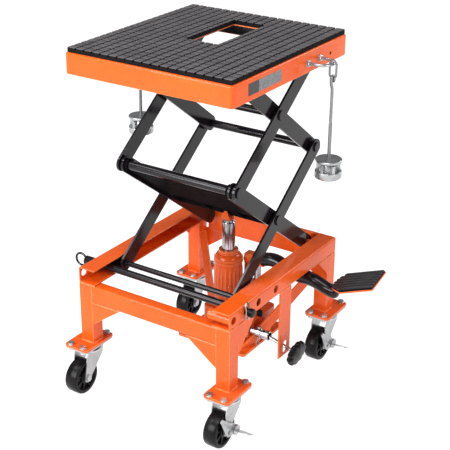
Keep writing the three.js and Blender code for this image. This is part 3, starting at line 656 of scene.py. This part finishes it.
def caster_wheel(corner):
    """A wide nylon wheel: crowned tread, recessed discs with ribs, and a hub."""
    low, high = extent(f"caster_wheel_{corner}")
    centre = (low + high) / 2
    half = (high.x - low.x) / 2
    rim = (high.z - low.z) / 2
    edge = [
        (5.6, 0), (13.2, 0), (14.4, 1.2), (15.2, 5.5), (26.5, 6.5), (28.5, 1.4), (30, 0),
        (rim - 3.6, 0), (rim - 1.2, 1.2), (rim - 0.2, 3.6),
    ]
    left = [(r, -half + inset) for r, inset in edge]
    right = [(r, half - inset) for r, inset in reversed(edge)]
    seam = [(rim - 0.05, -1), (rim, -0.5), (rim, 0.5), (rim - 0.05, 1)]
    profile = left + seam + right
    bm = bmesh.new()
    lathe(bm, profile + profile[:1], centre, (1, 0, 0), 96)
    rib = ((13.5, -1.5), (28.5, -1.2), (28.5, 1.2), (13.5, 1.5))
    for sign in (-1, 1):
        face = Vector((sign * (half - 2.4), 0, 0))
        root = Vector((sign * (half - 7.5), 0, 0))
        for k in range(WHEEL_RIBS):
            angle = TAU * (k + 0.5) / WHEEL_RIBS
            radial = Vector((0, math.cos(angle), math.sin(angle)))
            side = Vector((0, -math.sin(angle), math.cos(angle)))
            rings = []
            for depth in (root, face):
                rings.append(ring_of(bm, [at(*(centre + depth + radial * r + side * w)) for r, w in rib]))
            bridge(bm, *rings)
            for ring in rings:
                bm.faces.new(ring)
    bmesh.ops.remove_doubles(bm, verts=bm.verts, dist=1e-7)
    piece(f"wheel_{corner}_tread", bm, f"wheel_{corner}", NYLON, (f"caster_wheel_{corner}",))


def caster_plate(corner):
    """Mounting plate, with four bolts and their nuts through the foot plate."""
    node = f"caster_plate_{corner}"
    low, high = extent(node)
    centre = (low + high) / 2
    foot_top = high.z - 5.5
    nut = [(0, 0), (6.6, 0), (6.6, -3.6), (4, -3.6), (4, -5.2), (0, -5.4)]
    bolts = bmesh.new()
    for dx in (-16.5, 16.5):
        for dy in (-40, 40):
            x, y = centre.x + dx, centre.y + dy
            hex_bolt(bolts, (x, y, foot_top + 0.1), UP)
            lathe(bolts, nut, (x, y, foot_top - 9.1), UP, 6)
    piece(f"{corner}_bolts", bolts, "base", BRIGHT, (), 0.35)
    refine(node, ZINC, 0.6)


def caster_fork(corner):
    """Pressed fork, and above its crown the race's dust ring and dish, with a black ring between them as
    painted shade in the dark gap.
    """
    node = f"caster_fork_{corner}"
    refine(node, ZINC, 0.9, 3)
    wheel_low, wheel_high = extent(f"caster_wheel_{corner}")
    axle = (wheel_low + wheel_high) / 2
    race = Vector((axle.x, axle.y + TRAIL, extent(node)[1].z))
    ring = [(23.4, -2.2), (24.2, -1.2), (24.2, -0.2), (23.2, 0.3), (21, 0.4), (21, -2.2), (23.4, -2.2)]
    dish = [(20, -5), (24.6, -5), (25.6, -5.6), (25.8, -7.2), (25, -8.6), (23, -9.2), (20, -9), (20, -5)]
    # a black nylon ring paints the shade in the gap between the dust ring and the dish
    gap = [(18, -5.2), (22.2, -5.2), (22.2, -2), (18, -2), (18, -5.2)]
    for name, profiles, paint in (("race", (ring, dish), BRIGHT), ("painted_shade_gap", (gap,), NYLON)):
        bm = bmesh.new()
        for profile in profiles:
            lathe(bm, profile, race, UP, 64)
        piece(f"{corner}_{name}", bm, f"swivel_{corner}", paint)


def casters():
    for end in ENDS:
        for side in SIDES:
            corner = f"{end}_{side}"
            caster_wheel(corner)
            caster_plate(corner)
            caster_fork(corner)
            if side == "right":
                refine(f"caster_brake_{corner}", ZINC, 0.7, 3)


# ---- scissor

BACK_PIVOT = (126.6, 189.7, 271.4)  # the right one
FRONT_JOINT = (-117.7, 501.1)  # y and z


def pivot_caps():
    """Black washers and retaining heads on the inner ends of the rails' pivot pins."""
    x, y, z = BACK_PIVOT
    cap = [(0, 0), (8.6, 0), (9, 0.5), (9, 1.6), (6, 2.2), (0, 2.3)]
    bm = bmesh.new()
    for sign in SIDES.values():
        lathe(bm, cap, (sign * x, y, z), (-sign, 0, 0), 36)
    piece("pivot_caps", bm, "base", BLACK)


def scissor():
    """Arms, lift plate with its round front tube, cross tubes and rollers."""
    for level in ("lower", "upper"):
        for place in ("inner", "outer"):
            for side in SIDES:
                refine(f"{level}_{place}_arm_{side}", BLACK, 0.7, 3)
    refine("lift_plate", SATIN, 0.7, 3)
    low, high = extent("lift_plate")
    bm = bmesh.new()
    rod(bm, 9.75, (low.x + 7.2, *FRONT_JOINT), (high.x - 7.2, *FRONT_JOINT), 40)
    piece("front_joint_tube", bm, "lower_inner", BLACK)
    for node in ("rear_cross_tube", "upper_centre_tube", "roller_axle"):
        refine(node, BLACK, 0.5)
    for side in SIDES:
        for level in ("base", "deck"):
            refine(f"{level}_roller_{side}", NYLON, 0.8, 3)


# ---- deck

BLOCKS = (19, 22)  # rubber blocks across the deck and along it
GROOVE = 3.3
PAD_OPENING = ((-38.5, 38.5), (-35.5, 143))
TRAY_OPENING = ((-40, 40), (-37, 143.2))
LABEL_HEIGHTS = (719, 742)
SKIRT_HOLE = (141, 727)  # y and z


def minus_opening(x, y, opening_x, opening_y):
    """The rectangles left of a block once the opening is cut out of it."""
    beside = x[1] <= opening_x[0] or x[0] >= opening_x[1]
    if beside or y[1] <= opening_y[0] or y[0] >= opening_y[1]:
        return [(x, y)]
    left = []
    if x[0] < opening_x[0]:
        left.append(((x[0], opening_x[0]), y))
    if x[1] > opening_x[1]:
        left.append(((opening_x[1], x[1]), y))
    middle = (max(x[0], opening_x[0]), min(x[1], opening_x[1]))
    if y[0] < opening_y[0]:
        left.append((middle, (y[0], opening_y[0])))
    if y[1] > opening_y[1]:
        left.append((middle, (opening_y[1], y[1])))
    sliver = 1.5
    return [(a, b) for a, b in left if a[1] - a[0] > sliver and b[1] - b[0] > sliver]


def deck_pad():
    """Rubber mat: a sheet with a raised block at every crossing of the grid."""
    low, high = extent("deck_pad")
    sheet_top = high.z - 4.2
    loops = rectangle((low.x, high.x), (low.y, high.y)), rectangle(*PAD_OPENING)
    bm = bmesh.new()
    rings = [ring_of(bm, [at(x, y, z) for x, y in loop]) for z in (low.z, sheet_top) for loop in loops]
    for first, second in ((0, 2), (1, 3), (0, 1), (2, 3)):
        bridge(bm, rings[first], rings[second])
    # painted shade: the sheet between the blocks is near black
    piece("deck_mat_sheet", bm, "deck", GROOVE_SHADE_RUBBER)
    tops, walls = bmesh.new(), bmesh.new()
    pitch = [(high[i] - low[i]) / BLOCKS[i] for i in (0, 1)]
    for i in range(BLOCKS[0]):
        for j in range(BLOCKS[1]):
            spans = []
            for axis, index in ((0, i), (1, j)):
                start = low[axis] + index * pitch[axis] + (GROOVE / 2 if index else 0)
                is_last = index == BLOCKS[axis] - 1
                end = low[axis] + (index + 1) * pitch[axis] - (0 if is_last else GROOVE / 2)
                spans.append((start, end))
            for x, y in minus_opening(*spans, *PAD_OPENING):
                rubber_block(walls, tops, x, y, sheet_top, high.z)
    # painted shade: the blocks' sides are near black
    piece("deck_mat_walls", walls, "deck", GROOVE_SHADE_RUBBER)
    piece("deck_mat", tops, "deck", DECK_RUBBER, ("deck_pad",))


def rubber_block(walls, tops, x, y, low, high):
    """A block's drafted sides, painted near black as the shade in the grooves, and its top, rubbed down to a
    chamfer and a faint dish.
    """
    drop = noise.noise(Vector((x[0], y[0], 0)) * 0.05) * 0.06
    for bm, levels in (
        (walls, [(low - 0.4, 0.0), (high - 1.0, 0.3)]),
        (tops, [(high - 1.4, 0.4), (high - 0.9, 0.4), (high - 0.25 + drop, 0.7), (high - 0.12 + drop, 1.3)]),
    ):
        rings = []
        for z, inset in levels:
            loop = rectangle((x[0] + inset, x[1] - inset), (y[0] + inset, y[1] - inset))
            rings.append(ring_of(bm, [at(a, b, z) for a, b in loop]))
        bridge_all(bm, rings)
        bm.faces.new(rings[0])
        bm.faces.new(rings[-1])


def deck_label():
    """A plain two-tone plate on the right skirt."""
    x = extent("deck_tray")[1].x
    low, high = LABEL_HEIGHTS
    ground, panel = (-167.5, -132), (-131.6, -52)
    for name, (start, end), paint in (("ground", ground, LABEL_DARK), ("panel", panel, LABEL_GREY)):
        bm = block(bmesh.new(), (x - 0.2, start, low), (x + 0.35, end, high))
        piece(f"label_{name}", bm, "deck", paint, (), 0.1)


def deck_tray():
    """Folded sheet tray with rolled top edges, a cut-out and a drilled right skirt, lined in black."""
    low, high = extent("deck_tray")
    wall, fold, corner = 2.2, 3.6, 7
    under = high.z - wall

    def skirt(inset, z):
        x, y = (low.x + inset, high.x - inset), (low.y + inset, high.y - inset)
        return [at(u, v, z) for u, v in rounded_rectangle(x, y, max(corner - inset, 0.6))]

    def cut_out(z):
        return [at(u, v, z) for u, v in rounded_rectangle(*TRAY_OPENING, 2)]

    shell = [skirt(0.5, low.z), skirt(0, low.z + 0.5), skirt(0, low.z + 18)]
    for k in range(6):
        angle = k * TAU / 20
        shell.append(skirt(fold * (1 - math.cos(angle)), high.z - fold * (1 - math.sin(angle))))
    shell += [cut_out(high.z), cut_out(under), skirt(wall + 3, under), skirt(wall, under - 3)]
    shell += [skirt(wall, low.z + 0.5), skirt(wall - 0.5, low.z)]
    bm = bmesh.new()
    bridge_all(bm, [ring_of(bm, loop) for loop in shell], True)
    drills = bmesh.new()
    rod(drills, 4.5, (high.x - 8, *SKIRT_HOLE), (high.x + 8, *SKIRT_HOLE), 32)
    piece("deck_tray_shell", drill(bm, drills), "deck", ORANGE, ("deck_tray",))
    lining = [cut_out(under - 0.2), skirt(wall + 3, under - 0.2), skirt(wall + 0.2, under - 3)]
    lining += [skirt(wall + 0.2, low.z + 1), skirt(wall + 0.4, low.z + 1)]
    lining += [skirt(wall + 3.2, under - 0.4), cut_out(under - 0.4)]
    bm = bmesh.new()
    bridge_all(bm, [ring_of(bm, loop) for loop in lining], True)
    piece("deck_lining", bm, "deck", BLACK)


def deck():
    deck_tray()
    for side in SIDES:
        refine(f"deck_channel_{side}", BLACK, 0.8)
    deck_pad()
    deck_label()


# ---- tie-downs

TIE_X, TIE_Y, TIE_Z = 236, 72, 728  # the outermost point of the right U-bolt
BOW = 24  # the U-bolt's radius
SKIRT_X = 192.4


def u_bolt(side, sign):
    """Bent wire, threaded at its ends, with nuts and washers outside the skirt."""
    straight = [(187.6, -BOW), (194, -BOW), (200, -BOW), (206, -BOW)]
    bend = []
    for degrees in range(-85, 90, 10):
        angle = math.radians(degrees)
        bend.append((TIE_X - BOW + BOW * math.cos(angle), BOW * math.sin(angle)))
    route = straight + bend + [(x, -y) for x, y in reversed(straight)]
    points = [(sign * x, TIE_Y + y, TIE_Z) for x, y in route]
    bm = bmesh.new()
    sweep(bm, points, 3.15, 20)
    for dy in (-BOW, BOW):
        seat = (sign * SKIRT_X, TIE_Y + dy, TIE_Z)
        hex_bolt(bm, seat, (sign, 0, 0), 6.4, 5.4)
        for k in range(9):
            groove = arc((sign * (199.4 + k), TIE_Y + dy, TIE_Z), 3.2, 0, 330, 18, "yz")
            sweep(bm, groove, 0.32, 6)
    piece(f"u_bolt_{side}_wire", bm, "deck", ZINC, (f"u_bolt_{side}",))


def thread(bm, radius, start, end, pitch):
    """A helical ridge along z."""
    turns, steps_per_turn = (end[2] - start[2]) / pitch, 14
    steps = max(8, round(turns * steps_per_turn))
    points = []
    for i in range(steps + 1):
        angle = TAU * turns * i / steps
        z = start[2] + (end[2] - start[2]) * i / steps
        points.append((start[0] + radius * math.cos(angle), start[1] + radius * math.sin(angle), z))
    sweep(bm, points, 0.42, 5)


def hook_rod(side, sign):
    """A chain link on the U-bolt, and a rod hooked into it and threaded below."""
    x = sign * TIE_X
    node_low, node_high = extent(f"hook_rod_{side}")
    link_top = node_high.z - 2.2
    half, length = 7.3, 33.5
    top_centre, low_centre = (x, TIE_Y, link_top - half), (x, TIE_Y, link_top - length + half)
    oval = arc(top_centre, half, 0, 180, 14)[:-1] + arc(low_centre, half, 180, 360, 14)[:-1]
    bm = sweep(bmesh.new(), smooth_path(oval, 84, True), 2.15, 16, True)
    piece(f"tie_link_{side}", bm, f"tie_rod_{side}", DULL)
    eye = link_top - 36
    hook = arc((x, TIE_Y, eye), 6.4, 200, -60, 22, "yz")
    tail = [(x, TIE_Y - 4, eye - 11), (x, TIE_Y, eye - 20), (x, TIE_Y, eye - 40)]
    path = smooth_path(list(reversed(tail)) + hook, 60)
    rod_low = node_low.z
    bm = bmesh.new()
    sweep(bm, [(x, TIE_Y, rod_low + 0.4), (x, TIE_Y, rod_low + 60)] + path, 3.0, 16)
    shank = [(0, 0), (3.1, 0), (3.5, 0.6), (3.5, 118), (2.9, 120), (0, 120)]
    lathe(bm, shank, (x, TIE_Y, rod_low), UP, 24)
    thread(bm, 3.3, (x, TIE_Y, rod_low + 1.5), (x, TIE_Y, rod_low + 117), 1.6)
    piece(f"tie_rod_{side}_steel", bm, f"tie_rod_{side}", DULL, (f"hook_rod_{side}",))


def clamp_nut(side):
    """A flat pressure disc over a die-cast knob: a lipped drum with pockets between its ribs."""
    low, high = extent(f"clamp_nut_{side}")
    x, y = (low.x + high.x) / 2, (low.y + high.y) / 2
    bore, radius = 4.1, (high.x - low.x) / 2
    disc = [(bore, 0), (radius - 1, 0), (radius, 1), (radius, 4.5), (radius - 1, 5.5), (12, 5.9), (bore, 6)]
    at_disc = (x, y, high.z - 9)
    turned(f"clamp_disc_{side}", disc + disc[:1], at_disc, UP, 72, f"tie_clamp_{side}", ZINC)
    lip, top = low.z + 16, high.z - 13.5
    drum = [
        (bore, low.z), (radius - 3.5, low.z), (radius - 0.8, low.z + 1.5), (radius, low.z + 3.2),
        (radius, lip - 1.2), (radius - 1, lip), (radius - 9.5, lip + 0.4), (radius - 10.5, lip + 1.4),
        (radius - 11, top - 1.5), (radius - 12, top), (8.5, top), (8, high.z - 8), (bore, high.z - 8),
        (bore, low.z),
    ]
    bm = bmesh.new()
    lathe(bm, drum, (x, y, 0), UP, 72)
    rib, ribs = [(9, -2.2), (radius - 3.2, -3.2), (radius - 3.2, 3.2), (9, 2.2)], 6
    for k in range(ribs):
        angle = TAU * (k + 0.4) / ribs
        cos, sin = math.cos(angle), math.sin(angle)
        prism(bm, rib, lip - 1, top + 0.8, lambda u, v, w: (x + cos * u - sin * v, y + sin * u + cos * v, w))
    piece(f"clamp_knob_{side}", bm, f"tie_clamp_{side}", ZINC, (f"clamp_nut_{side}",), 0.5)


def tie_downs():
    for side, sign in SIDES.items():
        u_bolt(side, sign)
        hook_rod(side, sign)
        clamp_nut(side)


# ---- jack

JACK_Y = 70
FLUTES = 20
FLUTE_CIRCLE = 28.9
FLUTE_HEIGHTS = (141, 239)
BANDS = ((137.5, 33), (241.5, 32.6), (249, 32.2))  # height and radius of the reservoir's rims
GLAND_Z = 260.4


def jack():
    """Cast body, fluted reservoir, chrome ram with its collar, saddle head, pump piston and plugs."""
    # the jack's orange parts take the darker copy of the coat, as painted shade
    refine("jack_body", SHADED_ORANGE, 1.0, 3)
    bm = bmesh.new()
    for k in range(FLUTES):
        angle = TAU * (k + 0.3) / FLUTES
        x, y = FLUTE_CIRCLE * math.cos(angle), JACK_Y + FLUTE_CIRCLE * math.sin(angle)
        foot, head = (Vector((x, y, z)) for z in FLUTE_HEIGHTS)
        path = [foot.lerp(head, t / 10) for t in range(11)]
        radii = [3.5 * min(1, 0.3 + 4 * min(t, 10 - t) / 10) for t in range(11)]
        sweep(bm, path, radii, 10)
    for z, r in BANDS:
        band = [(r - 3, -2.2), (r - 0.6, -2.0), (r, 0), (r - 0.6, 2.0), (r - 3, 2.2), (r - 3, -2.2)]
        lathe(bm, band, (0, JACK_Y, z), UP, 72)
    piece("reservoir_flutes", bm, "jack", SHADED_ORANGE)
    neck = [
        (15, -1), (21.8, -1), (22.6, 0), (22.6, 2.2), (21.6, 3.2), (20.6, 3.8), (20.6, 4.4), (22, 5),
        (22, 7.6), (21, 8.8), (18.4, 9.2), (17.2, 8.2), (15, 8), (15, -1),
    ]
    turned("gland_neck", neck, (0, JACK_Y, GLAND_Z), UP, 72, "jack", SHADED_ORANGE)
    ram_low, ram_high = extent("jack_ram")
    length = ram_high.z - ram_low.z
    ram = [
        (0, 0), (14.1, 0), (14.5, 0.6), (14.5, length - 7.5), (14.1, length - 6.6), (12.2, length - 5.4),
        (12, length - 5), (12, length - 0.5), (11.5, length), (0, length),
    ]
    turned("ram_chrome", ram, (0, JACK_Y, ram_low.z), UP, 96, "ram", CHROME, ("jack_ram",))
    refine("ram_head", SHADED_ORANGE, 0.8, 3)
    refine("pump_piston", CHROME, 0.5)
    filler = [(0, 0), (6.8, 0), (7, 0.6), (7, 9.6), (6, 11.8), (3.4, 12.8), (0, 13)]
    turned("filler_plug", filler, (94, 53, 137.4), UP, 32, "jack", KNOB_PLASTIC)
    plug = [(0, 0), (3.6, 0), (4, 0.6), (4, 2.2), (3.2, 3), (0, 3.4)]
    turned("tank_plug", plug, (19.5, 45.6, 188), (0.62, -0.78, 0), 28, "jack", SHADED_ORANGE)


# ---- pedal

PEDAL_FOOT = (252, 235.5)  # x and z where the plate's underside starts
PEDAL_SLOPE = math.atan(0.385)
PEDAL_OUTLINE = [(0, 84), (10, 74), (38, 51), (118, 51), (98, 154), (6, 154), (-4, 124)]
PEDAL_CENTRE = (52, 100)
PEDAL_RIBS = 7
LEVER_PIN = (34, 246)  # x and z, as in the tube's route
TUBE_ROUTE = [
    (72, 249), (84, 253), (98, 255), (112, 253), (128, 246), (145, 239), (165, 236.8), (188, 236.6),
    (208, 233), (228, 226), (244, 222.6), (252, 222),
]


def on_pedal(s, y, h):
    """A point of the sloping foot plate: along it, across it and above its underside."""
    cos, sin = math.cos(PEDAL_SLOPE), math.sin(PEDAL_SLOPE)
    return (PEDAL_FOOT[0] + s * cos - h * sin, y, PEDAL_FOOT[1] + s * sin + h * cos)


def pedal_span(y):
    """The two ends of the foot plate along itself, at one place across it."""
    ends = []
    for (sa, ya), (sb, yb) in zip(PEDAL_OUTLINE, PEDAL_OUTLINE[1:] + PEDAL_OUTLINE[:1]):
        if ya != yb and min(ya, yb) <= y <= max(ya, yb):
            ends.append(sa + (sb - sa) * (y - ya) / (yb - ya))
    return min(ends), max(ends)


def pedal():
    """Lever block, curved arm, orange foot plate, and a rubber pad with raised ribs."""
    bm = prism(bmesh.new(), PEDAL_OUTLINE, 0.05, 3.4, on_pedal)
    piece("pedal_plate", bm, "pedal", ORANGE, (), 1.1, 3)
    bm = bmesh.new()
    block(bm, (28.4, 89.4, 236), (79, 110.6, 257.6))
    pin_x, pin_z = LEVER_PIN
    rod(bm, 6.4, (pin_x, 86.6, pin_z), (pin_x, 113.4, pin_z), 28)
    # the lever block takes the darker copy of the orange coat, as painted shade
    piece("pedal_lever_block", bm, "pedal", SHADED_ORANGE, (), 1.8, 3)
    path = smooth_path([(x, PEDAL_CENTRE[1], z) for x, z in TUBE_ROUTE], 66)
    radii = [15.4 if point.x < 190 else 14.2 + 1.2 * max(0, 1 - (point.x - 190) / 40) for point in path]
    tip = [(0, -1), (14.2, -1), (14.2, 0), (13.6, 3), (11.5, 6), (8, 8), (0, 9)]
    bm = sweep(bmesh.new(), path, radii, 32)
    lathe(bm, tip, path[-1], (1, 0, 0), 32)
    weld(bm, (253, 86, 235), (257, 114, 236), 2.2)
    piece("pedal_tube", bm, "pedal", BLACK, ("pedal_arm",))
    pedal_rubber()


def pedal_rubber():
    """The pad's sheet, painted near black as the shade between the ribs, and its ribs, the middle ones
    joined by a bar.
    """
    shrunk = [tuple(c + (v - c) * 0.97 for v, c in zip(point, PEDAL_CENTRE)) for point in PEDAL_OUTLINE]
    bm = prism(bmesh.new(), shrunk, 3.4, 6.2, on_pedal)
    # painted shade: the sheet between the ribs is near black
    piece("pedal_sheet", bm, "pedal", GROOVE_SHADE_RUBBER)
    inset, gap = 1.6, 3.1
    front, back = shrunk[2][1], shrunk[4][1]
    pitch = (back - front) / PEDAL_RIBS
    bm = bmesh.new()
    for k in range(PEDAL_RIBS):
        near, far = front + pitch * k + gap, front + pitch * (k + 1) - gap
        (near_start, near_end), (far_start, far_end) = pedal_span(near), pedal_span(far)
        near_edge = [(near_start + inset, near), (near_end - inset, near)]
        far_edge = [(far_end - inset, far), (far_start + inset, far)]
        prism(bm, near_edge + far_edge, 6, 9.8, on_pedal)
        if k in (2, 3, 4):
            prism(bm, rectangle((64, 88), (near - 3, far + 3)), 6, 9.3, on_pedal)
    piece("pedal_ribs", bm, "pedal", PEDAL_RUBBER, ("pedal_pad",), 0.6, 2)


# ---- release

RELEASE_Y, RELEASE_Z = 10, 122
ROD_START, ROD_SLOT = Vector((137, RELEASE_Y, RELEASE_Z)), Vector((188.8, 6.5, 111.5))
CROSS_PIN_X = 120
KNOB_X = 216
LOBES = 10


def release():
    """Socket with its pin and clip on the valve stem, a rod through the guide, and a scalloped knob."""
    tube = [
        (0, 82), (4, 82), (4, 99), (6.4, 99), (7, 99.6), (7, 113), (9.6, 114), (10.3, 115), (10.3, 125),
        (9.5, 126), (9.5, 127), (10.3, 128), (10.3, 145), (9.6, 146), (8.2, 146), (8, 128), (0, 128),
    ]
    pin_head = [(0, 0), (4.4, 0), (4.8, 0.6), (4.8, 2.4), (4, 3), (0, 3.2)]
    bm = bmesh.new()
    lathe(bm, tube, (0, RELEASE_Y, RELEASE_Z), (1, 0, 0), 48)
    rod(bm, 2.6, (CROSS_PIN_X, RELEASE_Y, RELEASE_Z - 15), (CROSS_PIN_X, RELEASE_Y, RELEASE_Z + 15), 20)
    lathe(bm, pin_head, (CROSS_PIN_X, RELEASE_Y, RELEASE_Z + 11.6), UP, 28)
    piece("release_tube", bm, "release_valve", STEEL, ("release_socket",))
    # thin black discs on the tube paint the shade inside its two holes
    hole = [(0, 0), (2.6, 0), (2.6, 0.5), (0, 0.5)]
    bm = bmesh.new()
    for x, aside in ((134, -8.6), (141, 6)):
        lathe(bm, hole, (x, RELEASE_Y + aside * 0.55, 131.4), (0, aside * 0.06, 1), 20)
    piece("release_tube_hole_shades", bm, "release_valve", KNOB_PLASTIC)
    loop = [(0, 6), (0, 1), (0, -3), (3.4, -7), (4, -12), (0, -15.5), (-4, -12), (-3.4, -7)]
    loop += [(0.4, -2.4), (2.6, 1)]
    wire = [(CROSS_PIN_X + a, RELEASE_Y - 5.4, 109.5 + b) for a, b in loop]
    bm = sweep(bmesh.new(), smooth_path(wire, 64), 0.85, 10)
    piece("release_clip", bm, "release_valve", STEEL)
    along = (ROD_SLOT - ROD_START).normalized()
    reach = (KNOB_X - ROD_START.x) / along.x
    nut = [(0, -3), (6.4, -3), (7, -2), (7, 3), (0, 3)]
    bm = bmesh.new()
    rod(bm, 4, ROD_START, ROD_START + along * (reach - 6), 32)
    lathe(bm, nut, ROD_START + along * (reach - 10), along, 6)
    piece("release_rod", bm, "release_handle", STEEL)
    knob = [(0, -8), (12, -8), (20, -7.4), (25.6, -5.6), (27, -3.6)]
    knob += [(27, 3.4), (25.8, 5.6), (22, 7.4), (10, 8), (0, 8)]
    boss = [(0, 0), (7, 0), (7.6, 0.6), (7.6, 1), (0, 1)]

    def scallop(angle, height):
        return 0.88 + 0.18 * abs(math.sin(LOBES * angle / 2)) ** 0.6

    bm = bmesh.new()
    lathe(bm, knob, ROD_START + along * reach, along, 144, scallop)
    lathe(bm, boss, ROD_START + along * (reach + 7.6), along, 32)
    piece("release_scalloped_knob", bm, "release_handle", KNOB_PLASTIC, ("release_knob",))


# ---- height lock

LOCK_LINE = (LOCK_HOLES[1], 272)  # y and z


def height_lock():
    """Lock bar with its pull ring and round black end cap, and the wire R-clip."""
    refine("lock_bar", BLACK, 0.8, 3)
    cap = [(0, 0), (8.6, 0), (9.2, 0.7), (9.2, 8.4), (8.4, 9.4), (6.6, 10), (0, 10.1)]
    bar_end = (extent("lock_bar")[1].x - 10, *LOCK_LINE)
    turned("lock_bar_cap", cap, bar_end, (1, 0, 0), 48, "lock", KNOB_PLASTIC)
    refine("r_clip", STEEL, 0.2)


# ---- room and camera

CAMERA_PLACE = (1216.7, -1814.0, 1352.4)
CAMERA_TURN = (33.07, 24.60, 0.47)  # azimuth, elevation and roll in degrees
CAMERA_LENS = 90.24
FLOOR_REACH = 40


def camera():
    """The photograph's view, as fitted to the table's parallel edges."""
    azimuth, elevation, roll = (math.radians(a) for a in CAMERA_TURN)
    flat = math.cos(elevation)
    ahead = Vector((-math.sin(azimuth) * flat, math.cos(azimuth) * flat, -math.sin(elevation)))
    level = Vector((math.cos(azimuth), math.sin(azimuth), 0))
    over = level.cross(ahead)
    right = math.cos(roll) * level + math.sin(roll) * over
    up = -math.sin(roll) * level + math.cos(roll) * over
    data = bpy.data.cameras.new("camera")
    data.lens, data.sensor_width = CAMERA_LENS, 36
    data.clip_start, data.clip_end = 0.05, 150
    view = bpy.data.objects.new("camera", data)
    turn = Matrix((right, up, -ahead)).transposed()
    view.matrix_world = Matrix.Translation(at(*CAMERA_PLACE)) @ turn.to_4x4()
    link(view)
    bpy.context.scene.camera = view


def floor():
    """A wide pale sheet, which fills the background."""
    paint = Paint("studio_floor", None, Roughness=0.8, Emission_Strength=0.92, Emission_Color=(1, 1, 1, 1))
    paint.feed("Base Color", paint.ramp(paint.noise(3), 0.28, 0.32))
    mesh = bpy.data.meshes.new("studio_floor")
    span = (-FLOOR_REACH, FLOOR_REACH)
    corners = [(x, y, 0) for x, y in rectangle(span, span)]
    mesh.from_pydata(corners, [], [(0, 1, 2, 3)])
    mesh.materials.append(paint.material)
    sheet = bpy.data.objects.new("studio_floor", mesh)
    link(sheet)


def area_light(name, place, target, size, power):
    """A soft rectangular lamp that faces the target."""
    data = bpy.data.lights.new(name, "AREA")
    data.shape = "RECTANGLE"
    data.size, data.size_y = size
    data.energy = power
    lamp = bpy.data.objects.new(name, data)
    lamp.location = place
    lamp.rotation_euler = (Vector(target) - Vector(place)).to_track_quat("-Z", "Y").to_euler()
    link(lamp)


def studio():
    """A faint white world, and lamps in front, at the side, above and behind for the edges."""
    world = bpy.data.worlds.new("studio")
    world.use_nodes = True
    backdrop = world.node_tree.nodes["Background"]
    backdrop.inputs["Color"].default_value = (1, 1, 1, 1)
    backdrop.inputs["Strength"].default_value = 0.22
    bpy.context.scene.world = world
    bpy.context.scene.view_settings.view_transform = "Standard"
    middle = (0, 0, 0.4)
    area_light("key", (-0.9, -2.5, 1.3), middle, (1.4, 1.4), 74)
    area_light("side", (2.4, -0.6, 1.3), middle, (0.5, 1.8), 24)
    area_light("top", (0.1, -0.9, 2.5), middle, (1.2, 1.2), 26)
    area_light("rim_right", (1.08, 1.98, 1.75), middle, (0.7, 0.7), 16)
    area_light("rim_front", (-1.3, -1.1, 2.4), middle, (0.7, 0.7), 18)


camera()
base_frame()
base_welds()
casters()
pivot_caps()
scissor()
deck()
tie_downs()
jack()
pedal()
release()
height_lock()
floor()
studio()
